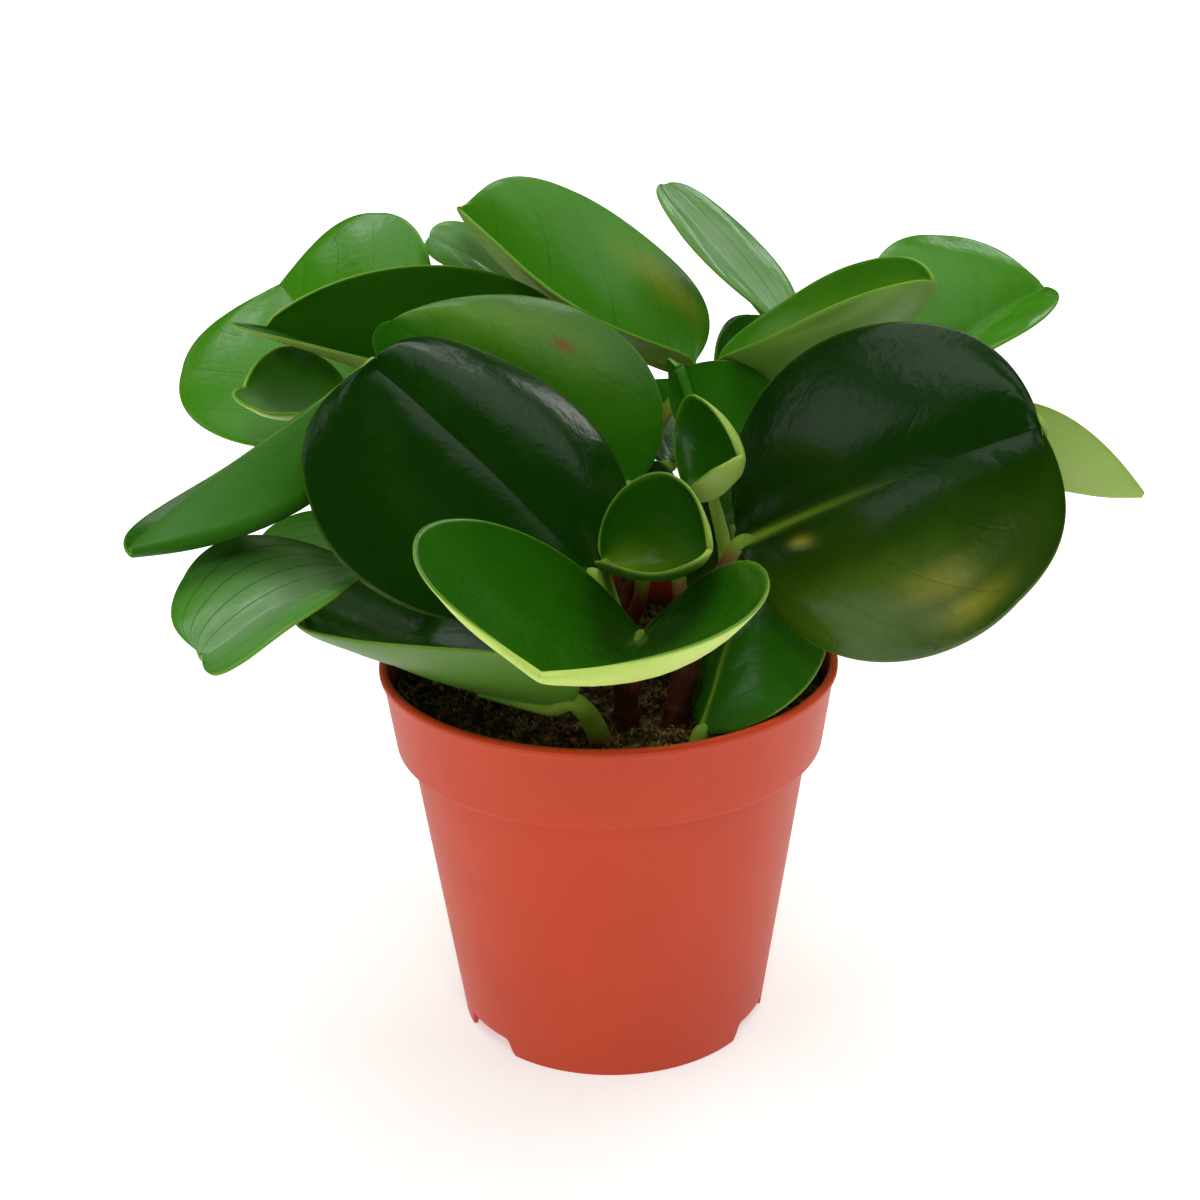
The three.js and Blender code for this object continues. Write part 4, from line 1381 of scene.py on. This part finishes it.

# Patches: glow is painted light through the leaf, the grey patch is painted sheen, gold is partly painted
# sheen.
LEAVES = [
    Leaf("leaf_01_front_left", ("front", 110), [(1, -27, 124)],
         (-2, -32, 137), (-57, -6, 185), (-62, -36, 140), (-9, 10, 170), arch=3, bow=(0.08, 0.1),
         taper=0.15, age=Age.OLD, ribs=0.12, midrib_shows=(0.0, 0.3), valley=2.2),
    Leaf("leaf_02_front_low", ("front", 103), [(9, -33, 115)],
         (8, -40, 125), (-14, -108, 145), (35, -92, 159), (-37, -72, 167), arch=-4, bow=(-0.12, -0.06),
         opened=(0.8, 0.45), paleness=0.95, midrib_shows=(0.2, 0.3)),
    Leaf("leaf_03_front_right", ("front_right", 124), [(29, -19, 133)],
         (33, -18, 140), (99, -52, 180), (58, -6, 190), (78, -56, 125), arch=4, bow=(0.06, 0.08),
         lobes=(0, 0.033), taper=0.1, age=Age.OLD, ribs=0.16, midrib_shows=(0.9, 0.6), valley=2.2,
         patches=(Patch(Stain.GOLD, 0.31, -0.17, 0.03, 0.9), Patch(Stain.GOLD, 0.57, -0.64, 0.07, 0.55),
                  Patch(Stain.GOLD, 0.62, -0.84, 0.07, 0.6), Patch(Stain.GLOW, 0.4, -0.75, 0.4, 0.26))),
    Leaf("leaf_04_young_front", ("front", 116), [(2, -36, 128)],
         (-1, -38, 143), (23, -57, 153), (10, -42, 166), (8, -62, 150), arch=-3, bow=(-0.15, -0.15),
         opened=(0, 0.5), taper=0.1, paleness=0.6, patches=(Patch(Stain.GLOW, 0.3, 0.0, 0.3),)),
    Leaf("leaf_05_young_right", ("front_right", 112), [(18, -10, 130), (18, -8, 144)],
         (20, -14, 152), (31, -38, 169), (19, -14, 176), (19, -46, 165), arch=-3, bow=(-0.15, -0.15),
         opened=(0, 0.3), paleness=0.5),
    Leaf("leaf_06_middle_left", ("middle", 100), [(9, 6, 118), (9, 5, 134)],
         (7, 8, 146), (-55, 28, 186), (-20, 2, 140), (1, 42, 182), arch=3, lobes=(0.16, 0), sharp=0.3,
         paleness=0.8, patches=(Patch(Stain.GLOW, 0.75, -0.6, 0.36, 0.34),
                  Patch(Stain.SCORCH, 0.53, -0.59, 0.025, 0.9))),
    Leaf("leaf_07_upper_left", ("middle", 136), [(-4, 58, 150)],
         (-16, 57, 160), (-90, 44, 181), (-59, 43, 171), (-29, 62, 191), arch=-6, bow=(-0.08, -0.05),
         lobes=(0.15, 0), sharp=0.3, paleness=0.5),
    Leaf("leaf_08_far_left", ("left", 130), [(-50, 40, 140)],
         (-58, 52, 149), (-95, 105, 178), (-117, 61, 151), (-53, 101, 195), arch=4, age=Age.FRESH,
         ribs=0.16),
    Leaf("leaf_09_young_left", ("left", 124), [(-57, 42, 141)],
         (-71, 51, 157), (-95, 34, 167), (-86, 27, 162), (-82, 49, 174), arch=-3, bow=(-0.15, -0.12),
         lobes=(0.12, 0), sharp=0.8, age=Age.FRESH, paleness=0.7,
         patches=(Patch(Stain.BLOOM, 0.5, 0.2, 0.5, 0.25),)),
    Leaf("leaf_10_left_spoon", ("left", 136), [(-46, 34, 149)],
         (-58, 33, 169), (-114, -37, 147), (-87, -5, 161), (-104, 8, 149), arch=-16, bow=(-0.1, -0.1),
         opened=(-2.4, 0), taper=0.3, sharp=0.9, paleness=0.0,
         patches=(Patch(Stain.GOLD, 0.6, -0.6, 0.15),)),
    Leaf("leaf_11_left_low", ("left", 114), [(-48, 2, 124)],
         (-62, -5, 129), (-94, -61, 130), (-73, -66, 138), (-98, -11, 140), arch=3, taper=0.7,
         age=Age.FRESH, ribs=0.6, veins=Veins.LENGTHWISE,
         patches=(Patch(Stain.BLOOM, 0.45, 0.1, 0.7, 0.4),)),
    Leaf("leaf_12_left_under", ("left", 101), [(-44, 17, 115)],
         (-54, 20, 122), (-98, 48, 113), (-81, 14, 116), (-81, 59, 124), arch=3, age=Age.FRESH, ribs=0.5,
         veins=Veins.LENGTHWISE, patches=(Patch(Stain.BLOOM, 0.5, 0.0, 0.7, 0.15),)),
    Leaf("leaf_13_front_rim", (-2, -37, 78), [(-3, -38, 98)],
         (-9, -42, 109), (-77, -11, 121), (-39, -56, 129), (-44, 6, 117), arch=-4, bow=(-0.08, -0.1),
         opened=(1, 0.2), stalk=3.1, paleness=0.1),
    Leaf("leaf_14_soil_right", (20, -42, 80), [],
         (22, -39, 98), (40, 0, 128), (28, 8, 108), (53, -33, 113), arch=2, taper=0.5, stalk=2.6,
         midrib_shows=(0.8, 0.9)),
    Leaf("leaf_15_top_back", ("middle", 139), [(16, 50, 152)],
         (25, 61, 164), (-39, 84, 204), (-11, 46, 188), (10, 105, 194), arch=-8, bow=(0.02, 0.05),
         age=Age.FRESH, ribs=0.14, patches=(Patch(Stain.GOLD, 0.35, -0.75, 0.14),)),
    Leaf("leaf_16_young_top", ("middle", 124), [(-6, 72, 148), (-17, 94, 164)],
         (-24, 98, 176), (-49, 88, 195), (-42, 84, 186), (-37, 102, 195), arch=2, lobes=(0, 0), taper=0.4,
         sharp=0.4, age=Age.FRESH, patches=(Patch(Stain.BLOOM, 0.5, 0.0, 0.9, 0.3),)),
    Leaf("leaf_17_top_right", ("right", 142), [(49, 58, 158)],
         (52, 66, 172), (18, 92, 208), (29, 64, 192), (48, 94, 189), taper=0.7, age=Age.FRESH, ribs=0.5,
         veins=Veins.LENGTHWISE, patches=(Patch(Stain.BLOOM, 0.5, 0.0, 0.9, 0.45),)),
    Leaf("leaf_18_right_upper", ("right", 132), [(36, 44, 148)],
         (32, 51, 161), (83, 13, 197), (55, 52, 188), (47, -3, 192), arch=-8, bow=(-0.08, -0.1),
         opened=(0, 0.2), taper=0.3, sharp=0.3, age=Age.FRESH, paleness=0.2,
         patches=(Patch(Stain.GLOW, 0.5, 0.4, 0.35), Patch(Stain.GOLD, 0.35, 0.3, 0.15))),
    Leaf("leaf_19_far_right", ("right", 128), [(58, 34, 140), (72, 40, 152)],
         (81, 46, 158), (128, 94, 176), (83, 94, 190), (107, 35, 176), arch=3, bow=(0.05, 0.08),
         age=Age.FRESH, paleness=0.7),
    Leaf("leaf_20_right_edge", ("right", 118), [(54, 12, 138), (72, 10, 153)],
         (83, 8, 157), (135, -8, 148), (109, 25, 151), (103, -17, 176), arch=-2, bow=(-0.08, -0.08),
         opened=(0.3, 0.2), taper=0.7, sharp=1, age=Age.FRESH, paleness=0.5),
    Leaf("leaf_21_middle_upright", ("front_right", 119), [(30, -12, 131)],
         (26, -9, 152), (19, 14, 176), (17, 19, 166), (48, 12, 167), arch=-2, bow=(0, 0), paleness=0.0),
    Leaf("leaf_22_young_back", ("right", 126), [(40, 46, 138)],
         (37, 60, 154), (43, 91, 170), (31, 66, 166), (51, 87, 160), bow=(0, 0)),
    # Painted shade: these two inner leaves take the darkest age, nearly black where the plant's middle lies
    # in shadow.
    Leaf("leaf_23_inner_dark", ("front_right", 104), [(21, -11, 107)],
         (23, 1, 116), (27, 19, 137), (20, 9, 132), (33, 10, 125), bow=(0, 0), age=Age.OLD),
    Leaf("leaf_24_inner_small", ("middle", 110), [(9, 15, 121)],
         (13, 11, 131), (11, 23, 148), (4, 17, 139), (20, 17, 141), age=Age.OLD),
    Leaf("leaf_25_back_high", ("middle", 132), [(11, 43, 134)],
         (17, 52, 138), (42, 119, 138), (5, 98, 148), (56, 82, 148), arch=4),
    Leaf("leaf_26_back_left", ("middle", 118), [(-3, 38, 122)],
         (-12, 50, 128), (-48, 116, 130), (-58, 72, 142), (-4, 100, 142), arch=3),
    Leaf("leaf_27_back_low", ("middle", 103), [(8, 34, 108)],
         (10, 48, 112), (24, 116, 106), (-10, 91, 116), (46, 79, 116), arch=5, age=Age.OLD),
    Leaf("leaf_28_back_right", ("right", 110), [(36, 32, 118)],
         (35, 42, 122), (84, 92, 114), (40, 89, 126), (82, 49, 126), arch=4),
    Leaf("leaf_29_back_far_left", ("left", 106), [(-30, 30, 112)],
         (-25, 45, 114), (-50, 108, 108), (-64, 67, 119), (-12, 91, 119), arch=4, age=Age.OLD),
    Leaf("leaf_30_right_under", ("right", 112), [(44, 13, 122)],
         (52, 12, 128), (112, 22, 122), (79, 45, 132), (89, -11, 132), arch=4, age=Age.OLD),
]


def main() -> None:
    """Builds the studio, the pot, the soil, the stems and the leaves, and logs each piece's face count."""
    logging.basicConfig(level=logging.INFO, format="%(name)s: %(message)s")
    Studio().build()
    Pot().build(Polypropylene().make())
    Soil().build()
    bark = YoungBark().make()
    for stem in STEMS:
        stem.build(bark)
    skin = Cuticle().make()
    stems = {stem.name: stem for stem in STEMS}
    for leaf in LEAVES:
        leaf.build(stems, skin)


if __name__ == "__main__":
    main()
